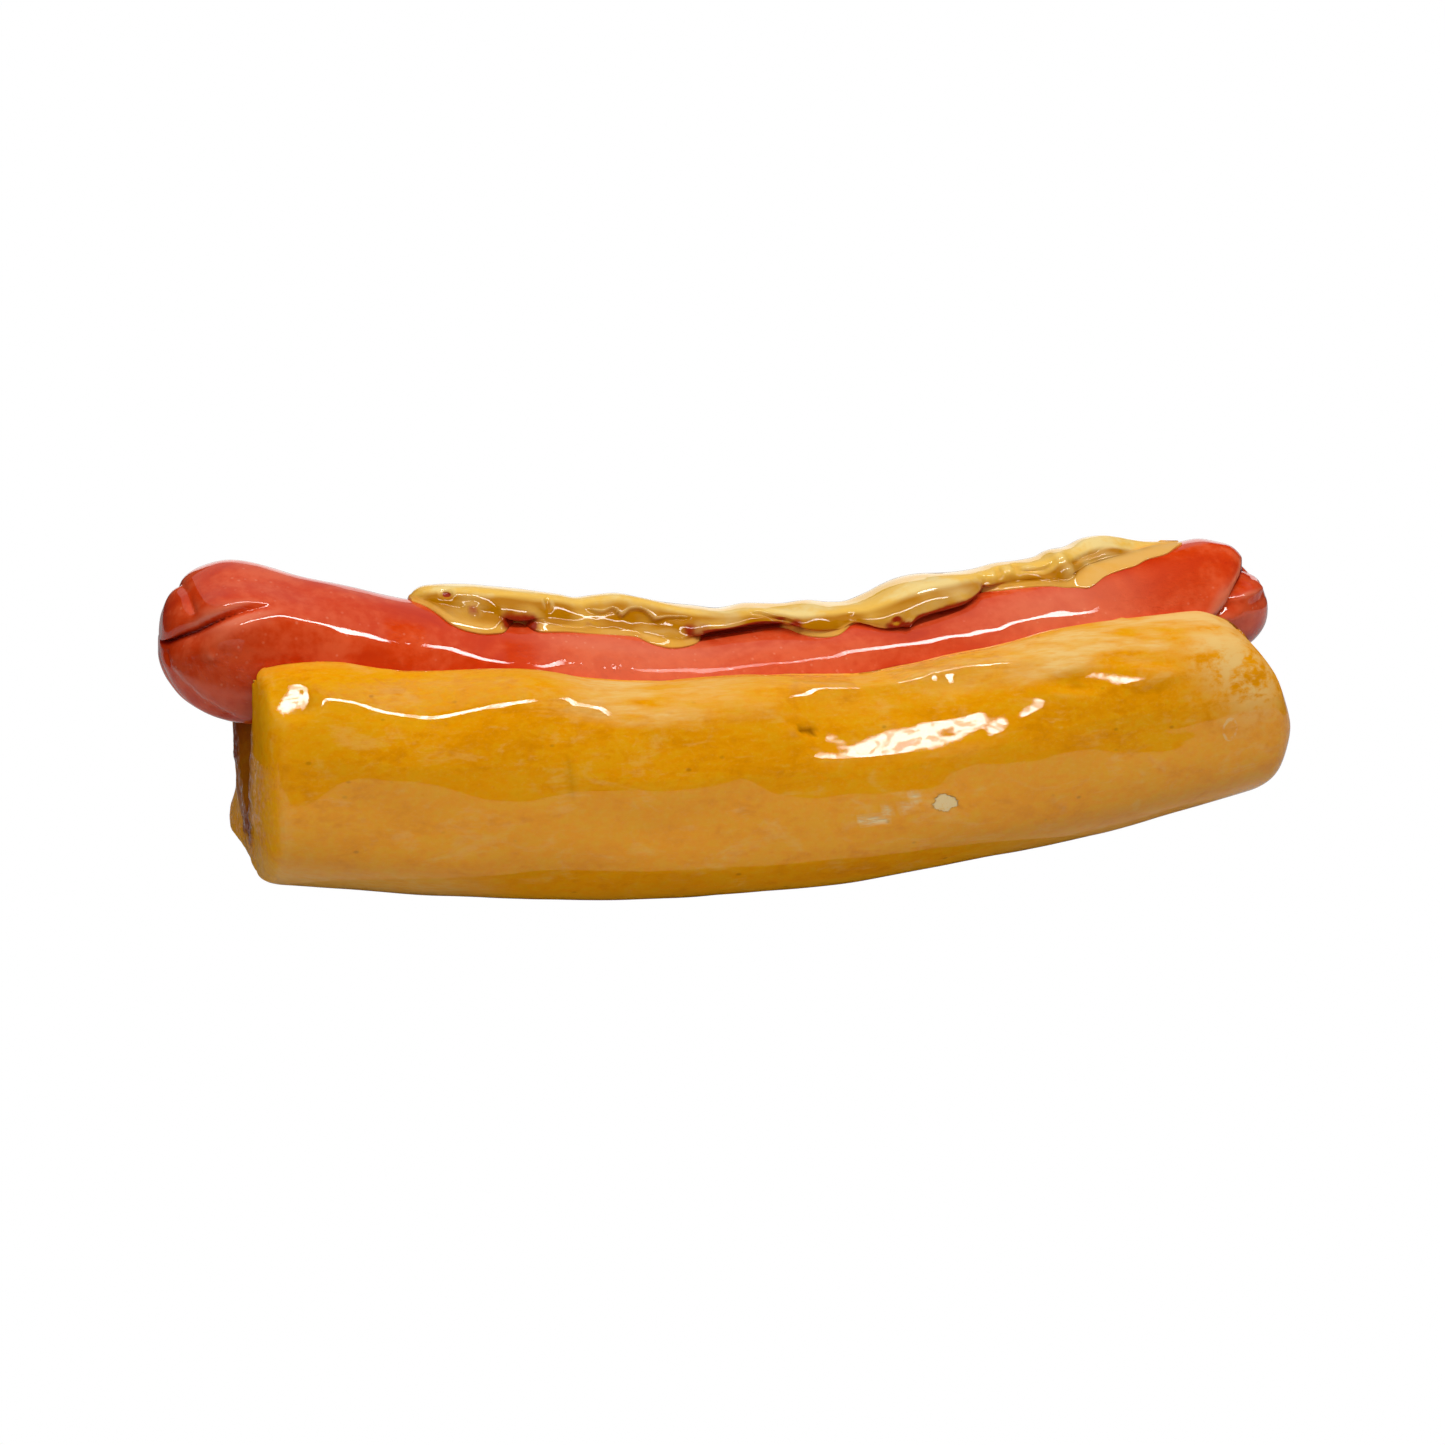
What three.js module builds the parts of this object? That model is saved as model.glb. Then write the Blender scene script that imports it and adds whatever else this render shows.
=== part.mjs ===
// A glazed ceramic hot dog: a thick slab of clay folded up into a bun, a rolled sausage with
// cross-cut ends pressed into the fold, and a torn, lumpy strip of mustard along its top.
//
// Millimetres, +Z up. X runs along the bun, -Y is its front, and the origin is on the surface
// it stands on, under the middle of its bounding box. All three pieces bend upwards towards
// their ends, and the bun's underside is flattened in the middle, where it stands.
import * as THREE from "three";

// ---- Driving sizes ------------------------------------------------------------------------

const STEP_BACK = 0.35; // clearance between two pieces that touch

// How the whole thing bends: up at both ends, and slightly away from the front.
const BEND = { lowX: -11, reach: 125, lift: 11.5, power: 1.7, bow: 9 };

const BUN = {
  left: -121.5,
  right: 134,
  width: 68,
  squareness: 3.1, // the section's outline: 2 is an ellipse, higher is boxier
  rimThick: 5.5, // how far the wall's crest stands outside the sausage
  lipDrop: 1.2, // how far the rim's inner edge is below its crest
  lipHighest: 0.96, // highest that edge may clasp the sausage, as a share of its half height
  rimInside: 1.5, // least that the crest stands inside the bun's full width
  endDrop: 0.6, // share of an end's rounding that also lowers the rim
  leftRounding: 3,
  rightRounding: 11,
  grooveRounding: 2.5, // most that the groove widens where an end is rounded
  flatDepth: 1.3, // how much the flat underside takes off the lowest point
  leastFloor: 6, // clay left under the sausage
};

// Height of the bun's rim at places along X: an uneven, thumb-pressed edge.
const RIM = [
  [-121, 60.2], [-114, 61.8], [-101, 61.6], [-88, 59.2], [-75, 58.8], [-57, 57.8], [-47, 54.9],
  [-31, 53.4], [-5, 53.6], [20, 52.2], [30, 53.4], [45, 55.6], [56, 56.6], [72, 59.6],
  [94, 61.4], [110, 61.8], [132, 61.8],
];

// How far each end of the bun is drawn in, from its foot to its rim: the left end is cut nearly
// square, and the right end slants back. The left end is also set back behind.
const END_TRIM = { fromHeight: 0.35, left: 1, right: 20, power: 1.7, leftSkew: 2.2 };

const SAUSAGE = {
  leftTip: -139.3,
  rightTip: 138.4,
  centreZ: 44.3, // height of its axis at the lowest point
  curlLeft: 18.6, // rise of its axis 110 mm out to the left of that point
  curlRight: 12.4, // and to the right
  curlAt: 110,
  curlPower: 1.5,
  levelFrom: 116, // |x| past which the axis levels out
  levelOver: 7,
  capLeft: 18.6, // length of the rounded ends
  capRight: 17,
  bluntness: 2.08, // 2 is round, higher is blunter
  leftSlant: 1.6, // how far the tips lean in at their top, and out at their foot
  rightSlant: 5,
  slantOver: 30, // length of each end that leans
};

const SAUSAGE_RADIUS = [
  [-140, 18.6], [-122, 18.6], [-104, 17.4], [-70, 16.4], [0, 16.3], [60, 16], [100, 15.6],
  [124, 15.2], [140, 14.6],
];

// The cuts that cross each end: the angle round the axis, 0 at the front and 90 on top, and
// how far each runs back from the tip.
const CUTS = {
  left: [
    { angle: 14, length: 34, depth: 0.26, width: 10 },
    { angle: 100, length: 17, depth: 0.16, width: 12 },
    { angle: 194, length: 28, depth: 0.24, width: 11 },
    { angle: 280, length: 20, depth: 0.18, width: 12 },
  ],
  right: [
    { angle: 2, length: 15, depth: 0.34, width: 14 },
    { angle: 92, length: 14, depth: 0.14, width: 12 },
    { angle: 182, length: 16, depth: 0.3, width: 13 },
    { angle: 272, length: 14, depth: 0.18, width: 12 },
  ],
};

// The mustard: thickness on top of the sausage, and how far down the sausage's front and back
// it reaches, in degrees from straight up, at places along X.
const MUSTARD = { left: -82, right: 114, edge: 0.8, flatness: 2.6, roundness: 0.6 };
const MUSTARD_SHAPE = [
  // x, thickness, front reach, back reach
  [-82, 0.8, 12, 12], [-78, 3.8, 22, 28], [-70, 5.4, 38, 36], [-62, 5.8, 36, 34],
  [-52, 5.8, 26, 36], [-42, 6.2, 23, 38], [-33, 7.0, 24, 34], [-24, 5.6, 34, 36],
  [-13, 5.4, 20, 36], [0, 5.0, 18, 40], [8, 4.8, 22, 36], [15, 4.6, 36, 36], [24, 4.8, 30, 38],
  [33, 5.2, 32, 38], [42, 5.8, 28, 40], [54, 5.8, 20, 36], [64, 5.4, 22, 34], [76, 5.2, 30, 38],
  [86, 5.4, 34, 36], [95, 5.6, 28, 36], [104, 2.4, 24, 26], [114, 0.8, 14, 12],
];

// The open cavity that is left under the sausage at each end of the bun.
const CAVITY = { leftDrop: 15, leftDepth: 26, rightDrop: 8, rightDepth: 18 };

// ---- Mesh steps ---------------------------------------------------------------------------

const BUN_STATIONS = 36;
const BUN_ROUNDING_STEPS = 4;
const BUN_OUTER_STEPS = 26; // round the outside, rim to rim
const BUN_GROOVE_STEPS = 18; // round the groove
const SAUSAGE_STATIONS = 34;
const SAUSAGE_CAP_STEPS = 10;
const SAUSAGE_SIDES = 36;
const TIP_START = 0.06; // the smallest ring of a tip, as a share of the cap's quarter turn
const MUSTARD_STATIONS = 60;
const MUSTARD_TOP_STEPS = 10;
const MUSTARD_UNDER_STEPS = 8;

// ---- Curves -------------------------------------------------------------------------------

const rad = THREE.MathUtils.degToRad;
const clamp01 = (t) => Math.min(1, Math.max(0, t));
const ease = (t) => clamp01(t) ** 2 * (3 - 2 * clamp01(t));
const steps = (count) => Array.from({ length: count + 1 }, (_, i) => i / count);

// A smooth function of x through rows [x, value, ...], read in one column.
function through(rows, column = 1) {
  const slope = (i) => {
    const a = rows[Math.max(0, i - 1)];
    const b = rows[Math.min(rows.length - 1, i + 1)];
    return (b[column] - a[column]) / (b[0] - a[0]);
  };
  return (x) => {
    if (x <= rows[0][0]) return rows[0][column];
    if (x >= rows.at(-1)[0]) return rows.at(-1)[column];
    const i = rows.findIndex((row, k) => k > 0 && x <= row[0]) - 1;
    const [a, b] = [rows[i], rows[i + 1]];
    const span = b[0] - a[0];
    const t = (x - a[0]) / span;
    const [t2, t3] = [t * t, t * t * t];
    return (
      (2 * t3 - 3 * t2 + 1) * a[column] +
      (t3 - 2 * t2 + t) * span * slope(i) +
      (3 * t2 - 2 * t3) * b[column] +
      (t3 - t2) * span * slope(i + 1)
    );
  };
}

// The bun's underside, and the line that all three pieces follow in plan.
const lift = (x) => BEND.lift * (Math.abs(x - BEND.lowX) / BEND.reach) ** BEND.power;
const bow = (x) => BEND.bow * ((x / BEND.reach) ** 2 - 0.5);
const rimHeight = through(RIM);
const sausageRadius = through(SAUSAGE_RADIUS);

// Height of the sausage's axis at x. It curls up towards both ends and levels out in them.
function axisHeight(x) {
  const past = Math.max(0, Math.abs(x) - SAUSAGE.levelFrom);
  const held = SAUSAGE.levelOver * (1 - Math.exp(-past / SAUSAGE.levelOver)) - past;
  const out = x + Math.sign(x) * held - BEND.lowX;
  const curl = out < 0 ? SAUSAGE.curlLeft : SAUSAGE.curlRight;
  return SAUSAGE.centreZ + curl * (Math.abs(out) / SAUSAGE.curlAt) ** SAUSAGE.curlPower;
}

// Height over width of the sausage's upright section at x: where a round sausage climbs, that
// section is taller than it is wide.
const tallness = (x) => Math.hypot(1, (axisHeight(x + 1) - axisHeight(x - 1)) / 2);

// A point beside the sausage's axis at x, by its angle from straight up towards the back and
// its distance out from the axis.
function besideAxis(x, angle, distance) {
  return new THREE.Vector3(
    x,
    bow(x) + distance * Math.sin(rad(angle)),
    axisHeight(x) + distance * tallness(x) * Math.cos(rad(angle)),
  );
}

// ---- Lofting ------------------------------------------------------------------------------

// A closed solid through rings of equal length, which follow each other along +X and run
// clockwise seen from there. Each end is closed by a strip between the ring's first points,
// up to the one at fold, and the points after it.
function loft(rings, fold) {
  const sides = rings[0].length;
  const positions = rings.flat().flatMap((p) => [p.x, p.y, p.z]);
  const index = [];
  for (let i = 0; i + 1 < rings.length; i += 1) {
    for (let j = 0; j < sides; j += 1) {
      const [a, b] = [i * sides + j, i * sides + ((j + 1) % sides)];
      const [c, d] = [a + sides, b + sides];
      index.push(a, c, b, b, c, d);
    }
  }
  const lastRing = (rings.length - 1) * sides;
  let [near, far] = [0, sides - 1];
  while (far - near > 1) {
    const nearNext = far === fold + 1 || near / fold < (sides - 1 - far) / (sides - 2 - fold);
    const third = nearNext ? near + 1 : far - 1;
    index.push(near, third, far);
    index.push(lastRing + near, lastRing + far, lastRing + third);
    if (nearNext) near += 1;
    else far -= 1;
  }
  const geometry = new THREE.BufferGeometry();
  geometry.setAttribute("position", new THREE.Float32BufferAttribute(positions, 3));
  geometry.setIndex(index);
  return geometry;
}

// ---- Bun ----------------------------------------------------------------------------------

// Height of the bun's rim at x, and of its section's underside. Inset draws the section smaller
// where an end is rounded.
const bunTop = (x, inset) => rimHeight(x) - inset * BUN.endDrop;
const bunFoot = (x, inset) => lift(x) - BUN.flatDepth + inset;

// A point of the bun's outside at x: a squared ellipse from the back rim (t = 0), under, to
// the front rim (t = 1).
function bunOuterPoint(x, t, inset) {
  const halfWidth = BUN.width / 2 - inset;
  const [foot, rim] = [bunFoot(x, inset), bunTop(x, inset)];
  const power = 2 / BUN.squareness;
  const crest = sausageRadius(x) + Math.min(inset, BUN.grooveRounding) + BUN.rimThick / 2;
  const rimY = Math.min(halfWidth - BUN.rimInside, crest);
  const rimAngle = Math.acos((rimY / halfWidth) ** (1 / power));
  const a = Math.PI + rimAngle - t * (Math.PI + 2 * rimAngle);
  const [c, s] = [Math.cos(a), Math.sin(a)];
  const y = -halfWidth * Math.sign(c) * Math.abs(c) ** power;
  const z = (rim + foot) / 2 - ((rim - foot) / 2) * Math.sign(s) * Math.abs(s) ** power;
  return new THREE.Vector3(x, bow(x) + y, z);
}

// A point of the bun's groove at x, which clasps the sausage's underside from the front lip
// (t = 0), under, to the back lip (t = 1), and drops away from it where a cavity opens.
function bunGroovePoint(x, t, inset) {
  const clasp = sausageRadius(x) + STEP_BACK + Math.min(inset, BUN.grooveRounding);
  const lipHeight = bunTop(x, inset) - BUN.lipDrop - axisHeight(x);
  const lip = Math.acos(Math.min(BUN.lipHighest, lipHeight / clasp / tallness(x)));
  const angle = THREE.MathUtils.lerp((-lip * 180) / Math.PI, (lip * 180) / Math.PI - 360, t);
  const point = besideAxis(x, angle, clasp);
  const drop =
    CAVITY.leftDrop * (1 - ease((x - BUN.left) / CAVITY.leftDepth)) +
    CAVITY.rightDrop * (1 - ease((BUN.right - x) / CAVITY.rightDepth));
  const floor = lift(x) + BUN.leastFloor + inset;
  point.z = Math.max(point.z - drop * Math.max(0, -Math.cos(rad(angle))) ** 1.5, floor);
  return point;
}

// The bun's ring at a share of its length. Each point moves along X with the slant of the two
// ends, and is then worked out again where it lands.
function bunRing(along, inset) {
  const level = THREE.MathUtils.lerp(BUN.left, BUN.right, along);
  const settle = (pointAt) => {
    const { y, z } = pointAt(level);
    const height = (z - lift(level)) / (rimHeight(level) - lift(level));
    const high = clamp01((height - END_TRIM.fromHeight) / (1 - END_TRIM.fromHeight));
    const slant = high ** END_TRIM.power;
    const left = BUN.left + END_TRIM.left * slant + END_TRIM.leftSkew * ease(y / BUN.width + 0.5);
    return pointAt(THREE.MathUtils.lerp(left, BUN.right - END_TRIM.right * slant, along));
  };
  const ring = [
    ...steps(BUN_GROOVE_STEPS).map((t) => settle((x) => bunGroovePoint(x, t, inset))),
    ...steps(BUN_OUTER_STEPS).map((t) => settle((x) => bunOuterPoint(x, t, inset))),
  ];
  ring.forEach((point) => point.setZ(Math.max(0, point.z)));
  return ring;
}

function makeBun() {
  const length = BUN.right - BUN.left;
  const straight = length - BUN.leftRounding - BUN.rightRounding;
  const rounding = (radius) =>
    steps(BUN_ROUNDING_STEPS).map((t) => {
      const a = (t * Math.PI) / 2;
      return { along: (radius * (1 - Math.sin(a))) / length, inset: radius * (1 - Math.cos(a)) };
    });
  const stations = [
    ...rounding(BUN.leftRounding).reverse(),
    ...steps(BUN_STATIONS)
      .slice(1, -1)
      .map((t) => ({ along: (BUN.leftRounding + t * straight) / length, inset: 0 })),
    ...rounding(BUN.rightRounding).map(({ along, inset }) => ({ along: 1 - along, inset })),
  ];
  return loft(stations.map(({ along, inset }) => bunRing(along, inset)), BUN_GROOVE_STEPS);
}

// ---- Sausage ------------------------------------------------------------------------------

// Full radius away from the ends, rounding off to nothing at the tips.
function sausageHalfThickness(x) {
  const cap = (distance, length) => {
    const t = 1 - clamp01(distance / length);
    return (1 - t ** SAUSAGE.bluntness) ** (1 / SAUSAGE.bluntness);
  };
  return (
    sausageRadius(x) *
    cap(x - SAUSAGE.leftTip, SAUSAGE.capLeft) *
    cap(SAUSAGE.rightTip - x, SAUSAGE.capRight)
  );
}

// Share of the radius that a set of cuts leaves, at an angle round the axis from the front and
// a distance back from the tip.
function cutShare(cuts, angle, distance) {
  return cuts.reduce((share, cut) => {
    const fade = 1 - ease(distance / cut.length);
    const away = THREE.MathUtils.euclideanModulo(angle - cut.angle + 180, 360) - 180;
    return share * (1 - cut.depth * fade * Math.exp(-((away / cut.width) ** 2)));
  }, 1);
}

function sausageRing(x) {
  const radius = sausageHalfThickness(x);
  const nearLeft = ease(1 - (x - SAUSAGE.leftTip) / SAUSAGE.slantOver);
  const nearRight = ease(1 - (SAUSAGE.rightTip - x) / SAUSAGE.slantOver);
  return Array.from({ length: SAUSAGE_SIDES }, (_, i) => {
    const angle = (i * 360) / SAUSAGE_SIDES;
    const share =
      cutShare(CUTS.left, angle, x - SAUSAGE.leftTip) *
      cutShare(CUTS.right, angle, SAUSAGE.rightTip - x);
    const point = besideAxis(x, angle - 90, radius * share);
    const rise = (point.z - axisHeight(x)) / sausageRadius(x);
    point.x += (SAUSAGE.leftSlant * nearLeft - SAUSAGE.rightSlant * nearRight) * rise;
    return point;
  });
}

function makeSausage() {
  const cap = (length) =>
    steps(SAUSAGE_CAP_STEPS)
      .slice(0, -1)
      .map((t) => length * (1 - Math.cos(THREE.MathUtils.lerp(TIP_START, 1, t) * (Math.PI / 2))));
  const [from, to] = [SAUSAGE.leftTip + SAUSAGE.capLeft, SAUSAGE.rightTip - SAUSAGE.capRight];
  const places = [
    ...cap(SAUSAGE.capLeft).map((d) => SAUSAGE.leftTip + d),
    ...steps(SAUSAGE_STATIONS).map((t) => THREE.MathUtils.lerp(from, to, t)),
    ...cap(SAUSAGE.capRight).map((d) => SAUSAGE.rightTip - d).reverse(),
  ];
  return loft(places.map(sausageRing), SAUSAGE_SIDES / 2);
}

// ---- Mustard ------------------------------------------------------------------------------

function makeMustard() {
  const [thickness, front, back] = [1, 2, 3].map((column) => through(MUSTARD_SHAPE, column));
  const rings = steps(MUSTARD_STATIONS).map((t) => {
    const x = THREE.MathUtils.lerp(MUSTARD.left, MUSTARD.right, t);
    const under = sausageRadius(x) + STEP_BACK;
    const over = steps(MUSTARD_TOP_STEPS).map((u) => {
      const across = 2 * u - 1;
      const angle = across * (across < 0 ? front(x) : back(x));
      const swell = (1 - Math.abs(across) ** MUSTARD.flatness) ** MUSTARD.roundness;
      return besideAxis(x, angle, under + MUSTARD.edge * (1 - swell) + thickness(x) * swell);
    });
    const below = steps(MUSTARD_UNDER_STEPS).map((u) =>
      besideAxis(x, THREE.MathUtils.lerp(back(x), -front(x), u), under),
    );
    return [...over, ...below];
  });
  return loft(rings, MUSTARD_TOP_STEPS);
}

// ---- Assembly -----------------------------------------------------------------------------

const glaze = (color) => new THREE.MeshStandardMaterial({ color, roughness: 0.08, metalness: 0 });

const group = new THREE.Group();
for (const [name, geometry, material] of [
  ["bun", makeBun(), glaze("#c98b18")],
  ["sausage", makeSausage(), glaze("#c8391b")],
  ["mustard", makeMustard(), glaze("#d9a53a")],
]) {
  const mesh = new THREE.Mesh(geometry, material);
  mesh.name = name;
  group.add(mesh);
}

export default group;
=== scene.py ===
"""A glazed ceramic hot dog: a clay bun, a sausage pressed into it and a torn strip of mustard.

Sizes are in millimetres until a mesh is written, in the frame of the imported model: X along the
bun, -Y its front, +Z up, and the origin on the surface that it stands on.
"""

import logging
import math
from dataclasses import dataclass
from enum import Enum
from typing import Union

import bmesh
import bpy
import numpy as np
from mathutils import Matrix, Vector, noise


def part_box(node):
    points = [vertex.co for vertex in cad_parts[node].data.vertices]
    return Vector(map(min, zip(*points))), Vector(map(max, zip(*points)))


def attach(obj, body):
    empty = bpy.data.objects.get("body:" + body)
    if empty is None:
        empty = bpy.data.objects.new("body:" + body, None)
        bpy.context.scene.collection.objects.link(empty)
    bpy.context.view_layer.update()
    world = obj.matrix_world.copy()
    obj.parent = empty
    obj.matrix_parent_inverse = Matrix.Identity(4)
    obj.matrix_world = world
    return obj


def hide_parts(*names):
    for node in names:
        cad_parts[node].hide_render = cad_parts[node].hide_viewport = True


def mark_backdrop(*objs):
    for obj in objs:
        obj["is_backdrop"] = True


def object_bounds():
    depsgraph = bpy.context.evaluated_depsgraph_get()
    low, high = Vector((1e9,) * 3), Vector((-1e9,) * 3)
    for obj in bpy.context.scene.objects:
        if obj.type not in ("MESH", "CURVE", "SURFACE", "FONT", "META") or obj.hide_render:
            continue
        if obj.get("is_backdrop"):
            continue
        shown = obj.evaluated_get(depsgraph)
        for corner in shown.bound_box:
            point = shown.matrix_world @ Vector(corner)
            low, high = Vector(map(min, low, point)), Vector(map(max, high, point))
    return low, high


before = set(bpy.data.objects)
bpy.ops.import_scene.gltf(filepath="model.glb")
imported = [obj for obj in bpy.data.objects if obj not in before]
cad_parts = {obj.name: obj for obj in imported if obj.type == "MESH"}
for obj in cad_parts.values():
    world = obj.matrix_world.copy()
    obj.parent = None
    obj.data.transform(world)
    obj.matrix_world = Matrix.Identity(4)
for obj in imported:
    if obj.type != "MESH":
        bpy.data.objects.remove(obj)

logging.basicConfig(level=logging.INFO, format="%(message)s")
log = logging.getLogger("hot_dog")

MM = 0.001
FINE_STEPS = 800
Array = np.ndarray
Piece = bpy.types.Object
Material = bpy.types.Material
Socket = bpy.types.NodeSocket
Pair = tuple[float, float]
Rows = tuple[Pair, ...]
Colour = tuple[float, float, float]
Point = tuple[float, float, float]
Stroke = tuple[Point, ...]


# ---- Curves ---------------------------------------------------------------------------------


def ease(t: Array) -> Array:
    """Goes smoothly from 0 to 1 as t does."""
    t = np.clip(t, 0.0, 1.0)
    return t * t * (3.0 - 2.0 * t)


def bell(distance: Array, width: float) -> Array:
    """A smooth bump: 1 at no distance, about a third at one width, and nothing far away."""
    return np.exp(-((distance / width) ** 2))


@dataclass(frozen=True)
class Ramp:
    """A smooth step along a value, from where it starts and over how much it runs."""

    start: float
    over: float

    def up(self, value: Array) -> Array:
        """Goes from 0 before the step to 1 past it."""
        return ease((value - self.start) / self.over)

    def down(self, value: Array) -> Array:
        """Goes from 1 before the step to 0 past it."""
        return 1.0 - self.up(value)


@dataclass(frozen=True)
class Span:
    """A stretch of a value that fades in and out smoothly.

    Attributes:
        first: Where it starts to fade in.
        rise: Over how much it does.
        last: Where it starts to fade out.
        fall: Over how much it does.
    """

    first: float
    rise: float
    last: float
    fall: float

    def at(self, value: Array) -> Array:
        """How far values lie in the stretch, from 0 to 1."""
        return Ramp(self.first, self.rise).up(value) * Ramp(self.last, self.fall).down(value)


@dataclass(frozen=True)
class Course:
    """A value that changes smoothly along X.

    Attributes:
        rows: The places along X, each with its value.
    """

    rows: Rows

    def at(self, x: Array) -> Array:
        """Reads the value at x.

        Args:
            x: Places along X.

        Returns:
            The value at each place, level past the first and last row.
        """
        knots, values = np.array(self.rows, float).T
        x = np.clip(np.asarray(x, float), knots[0], knots[-1])
        before, after = np.maximum(np.arange(len(knots)) - 1, 0), np.arange(len(knots)) + 1
        after = np.minimum(after, len(knots) - 1)
        slopes = (values[after] - values[before]) / (knots[after] - knots[before])
        i = np.clip(np.searchsorted(knots, x) - 1, 0, len(knots) - 2)
        span = knots[i + 1] - knots[i]
        t = (x - knots[i]) / span
        t2, t3 = t * t, t * t * t
        return (
            (2 * t3 - 3 * t2 + 1) * values[i]
            + (t3 - 2 * t2 + t) * span * slopes[i]
            + (3 * t2 - 2 * t3) * values[i + 1]
            + (t3 - t2) * span * slopes[i + 1]
        )


def spread(stops: Rows, count: int) -> Array:
    """Shares out count + 1 places from 0 to 1, closer together where they are asked to be.

    Args:
        stops: Places from 0 to 1, each with how densely points lie there.
        count: How many steps to make.

    Returns:
        The places, rising from 0 to 1.
    """
    fine = np.linspace(0.0, 1.0, FINE_STEPS)
    at, density = np.array(stops, float).T
    total = np.cumsum(np.interp(fine, at, density))
    total = (total - total[0]) / (total[-1] - total[0])
    return np.interp(np.linspace(0.0, 1.0, count + 1), total, fine)


def towards(turn: float, lean: float) -> Point:
    """Finds the direction that something faces.

    Args:
        turn: Degrees that it faces to the right of the front.
        lean: Degrees that it faces up.

    Returns:
        The direction, one unit long.
    """
    a, e = math.radians(turn), math.radians(lean)
    return (math.sin(a) * math.cos(e), -math.cos(a) * math.cos(e), math.sin(e))


def beside_segment(
    points: Array, start: Array, end: Array
) -> tuple[Array, Array]:
    """Finds how points lie beside a straight segment.

    Args:
        points: The points, one a row.
        start: The segment's first end.
        end: Its other end.

    Returns:
        The share of the segment at which each point lies, and its distance from there.
    """
    along = np.subtract(end, start)
    t = np.clip((points - start) @ along / (along @ along), 0.0, 1.0)
    return t, np.linalg.norm(points - start - t[:, None] * along, axis=1)


@dataclass(frozen=True)
class Bend:
    """How all three pieces rise and swing as they run along X."""

    low_x: float = -11.0
    reach: float = 125.0
    lift: float = 11.5
    power: float = 1.7
    bow: float = 9.0

    def foot(self, x: Array) -> Array:
        """Height of the bun's underside at x."""
        return self.lift * (np.abs(x - self.low_x) / self.reach) ** self.power

    def middle(self, x: Array) -> Array:
        """The line in plan that the pieces follow, as Y at x."""
        return self.bow * ((x / self.reach) ** 2 - 0.5)


@dataclass(frozen=True)
class SausageLine:
    """The sausage's axis and thickness, which the bun's groove and the mustard also follow."""

    bend: Bend = Bend()
    centre_z: float = 44.3
    curl_left: float = 18.6
    curl_right: float = 12.4
    curl_at: float = 110.0
    curl_power: float = 1.5
    level_from: float = 116.0
    level_over: float = 7.0
    thickness: Course = Course((
        (-140, 18.6), (-122, 18.6), (-104, 17.4), (-70, 16.4), (0, 16.3), (60, 16), (100, 15.6),
        (124, 15.2), (140, 14.6),
    ))

    def height(self, x: Array) -> Array:
        """Finds how high the axis runs.

        Args:
            x: Places along X.

        Returns:
            Height of the axis at each place.
        """
        past = np.maximum(0.0, np.abs(x) - self.level_from)
        held = self.level_over * (1.0 - np.exp(-past / self.level_over)) - past
        out = x + np.sign(x) * held - self.bend.low_x
        curl = np.where(out < 0, self.curl_left, self.curl_right)
        return self.centre_z + curl * (np.abs(out) / self.curl_at) ** self.curl_power

    def radius(self, x: Array) -> Array:
        """Radius of the sausage at x, away from its ends."""
        return self.thickness.at(x)

    def tallness(self, x: Array) -> Array:
        """Height over width of the upright section at x."""
        return np.hypot(1.0, (self.height(x + 1.0) - self.height(x - 1.0)) / 2.0)

    def beside(self, x: Array, angle: Array, distance: Array) -> Array:
        """Finds points beside the axis.

        Args:
            x: Places along X.
            angle: Angle round the axis from straight up towards the back, in radians.
            distance: Distance out from the axis.

        Returns:
            The points, one a row.
        """
        x, angle, distance = np.broadcast_arrays(x, angle, distance)
        y = self.bend.middle(x) + distance * np.sin(angle)
        z = self.height(x) + distance * self.tallness(x) * np.cos(angle)
        return np.stack([x, y, z], axis=-1)

    def angle_of(self, points: Array) -> Array:
        """Angle of points round the axis, in degrees from straight up towards the front."""
        x, y, z = points.T
        return np.degrees(
            np.arctan2(self.bend.middle(x) - y, (z - self.height(x)) / self.tallness(x))
        )

    def spot(self, x: float, degrees: float, out: float = 0.0) -> Array:
        """A point on the sausage's side, by its angle in degrees from the top to the front."""
        where = np.array([x], float)
        return self.beside(where, math.radians(-degrees), self.radius(where) + out)[0]


# ---- Clay -----------------------------------------------------------------------------------


@dataclass(frozen=True)
class Lumps:
    """Uneven noise that lies over a piece.

    Attributes:
        size: How long the lumps are along each axis.
        seed: Where in the noise the piece lies.
        height: How far they reach out and in.
        octaves: How much fine detail there is.
    """

    size: Point
    seed: float
    height: float = 1.0
    octaves: int = 2


@dataclass(frozen=True)
class Mark:
    """A spot or a line that is worked into the clay, or painted on it.

    Attributes:
        path: Its corners, one alone for a spot.
        width: How wide it is.
        depth: How far the clay stands out there, or how strong the paint is.
    """

    path: Stroke
    width: float
    depth: float


@dataclass(frozen=True)
class FlatSpot:
    """A spot where the clay was patted flat.

    Attributes:
        middle: The middle of the spot.
        lean: Degrees that it faces up.
        turn: Degrees that it faces to the right of the front.
        long: Half its length along X.
        tall: Half its height.
        fade: Where it fades out, in shares of its size.
        reach: How far in and out from the flat the skin moves.
    """

    middle: Point
    lean: float
    turn: float
    long: float
    tall: float
    fade: Ramp = Ramp(0.7, 0.9)
    reach: float = 4.0


def deselect_all() -> None:
    """Leaves object mode with nothing selected."""
    for other in bpy.context.selected_objects:
        other.select_set(False)
    bpy.context.view_layer.objects.active = None


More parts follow.
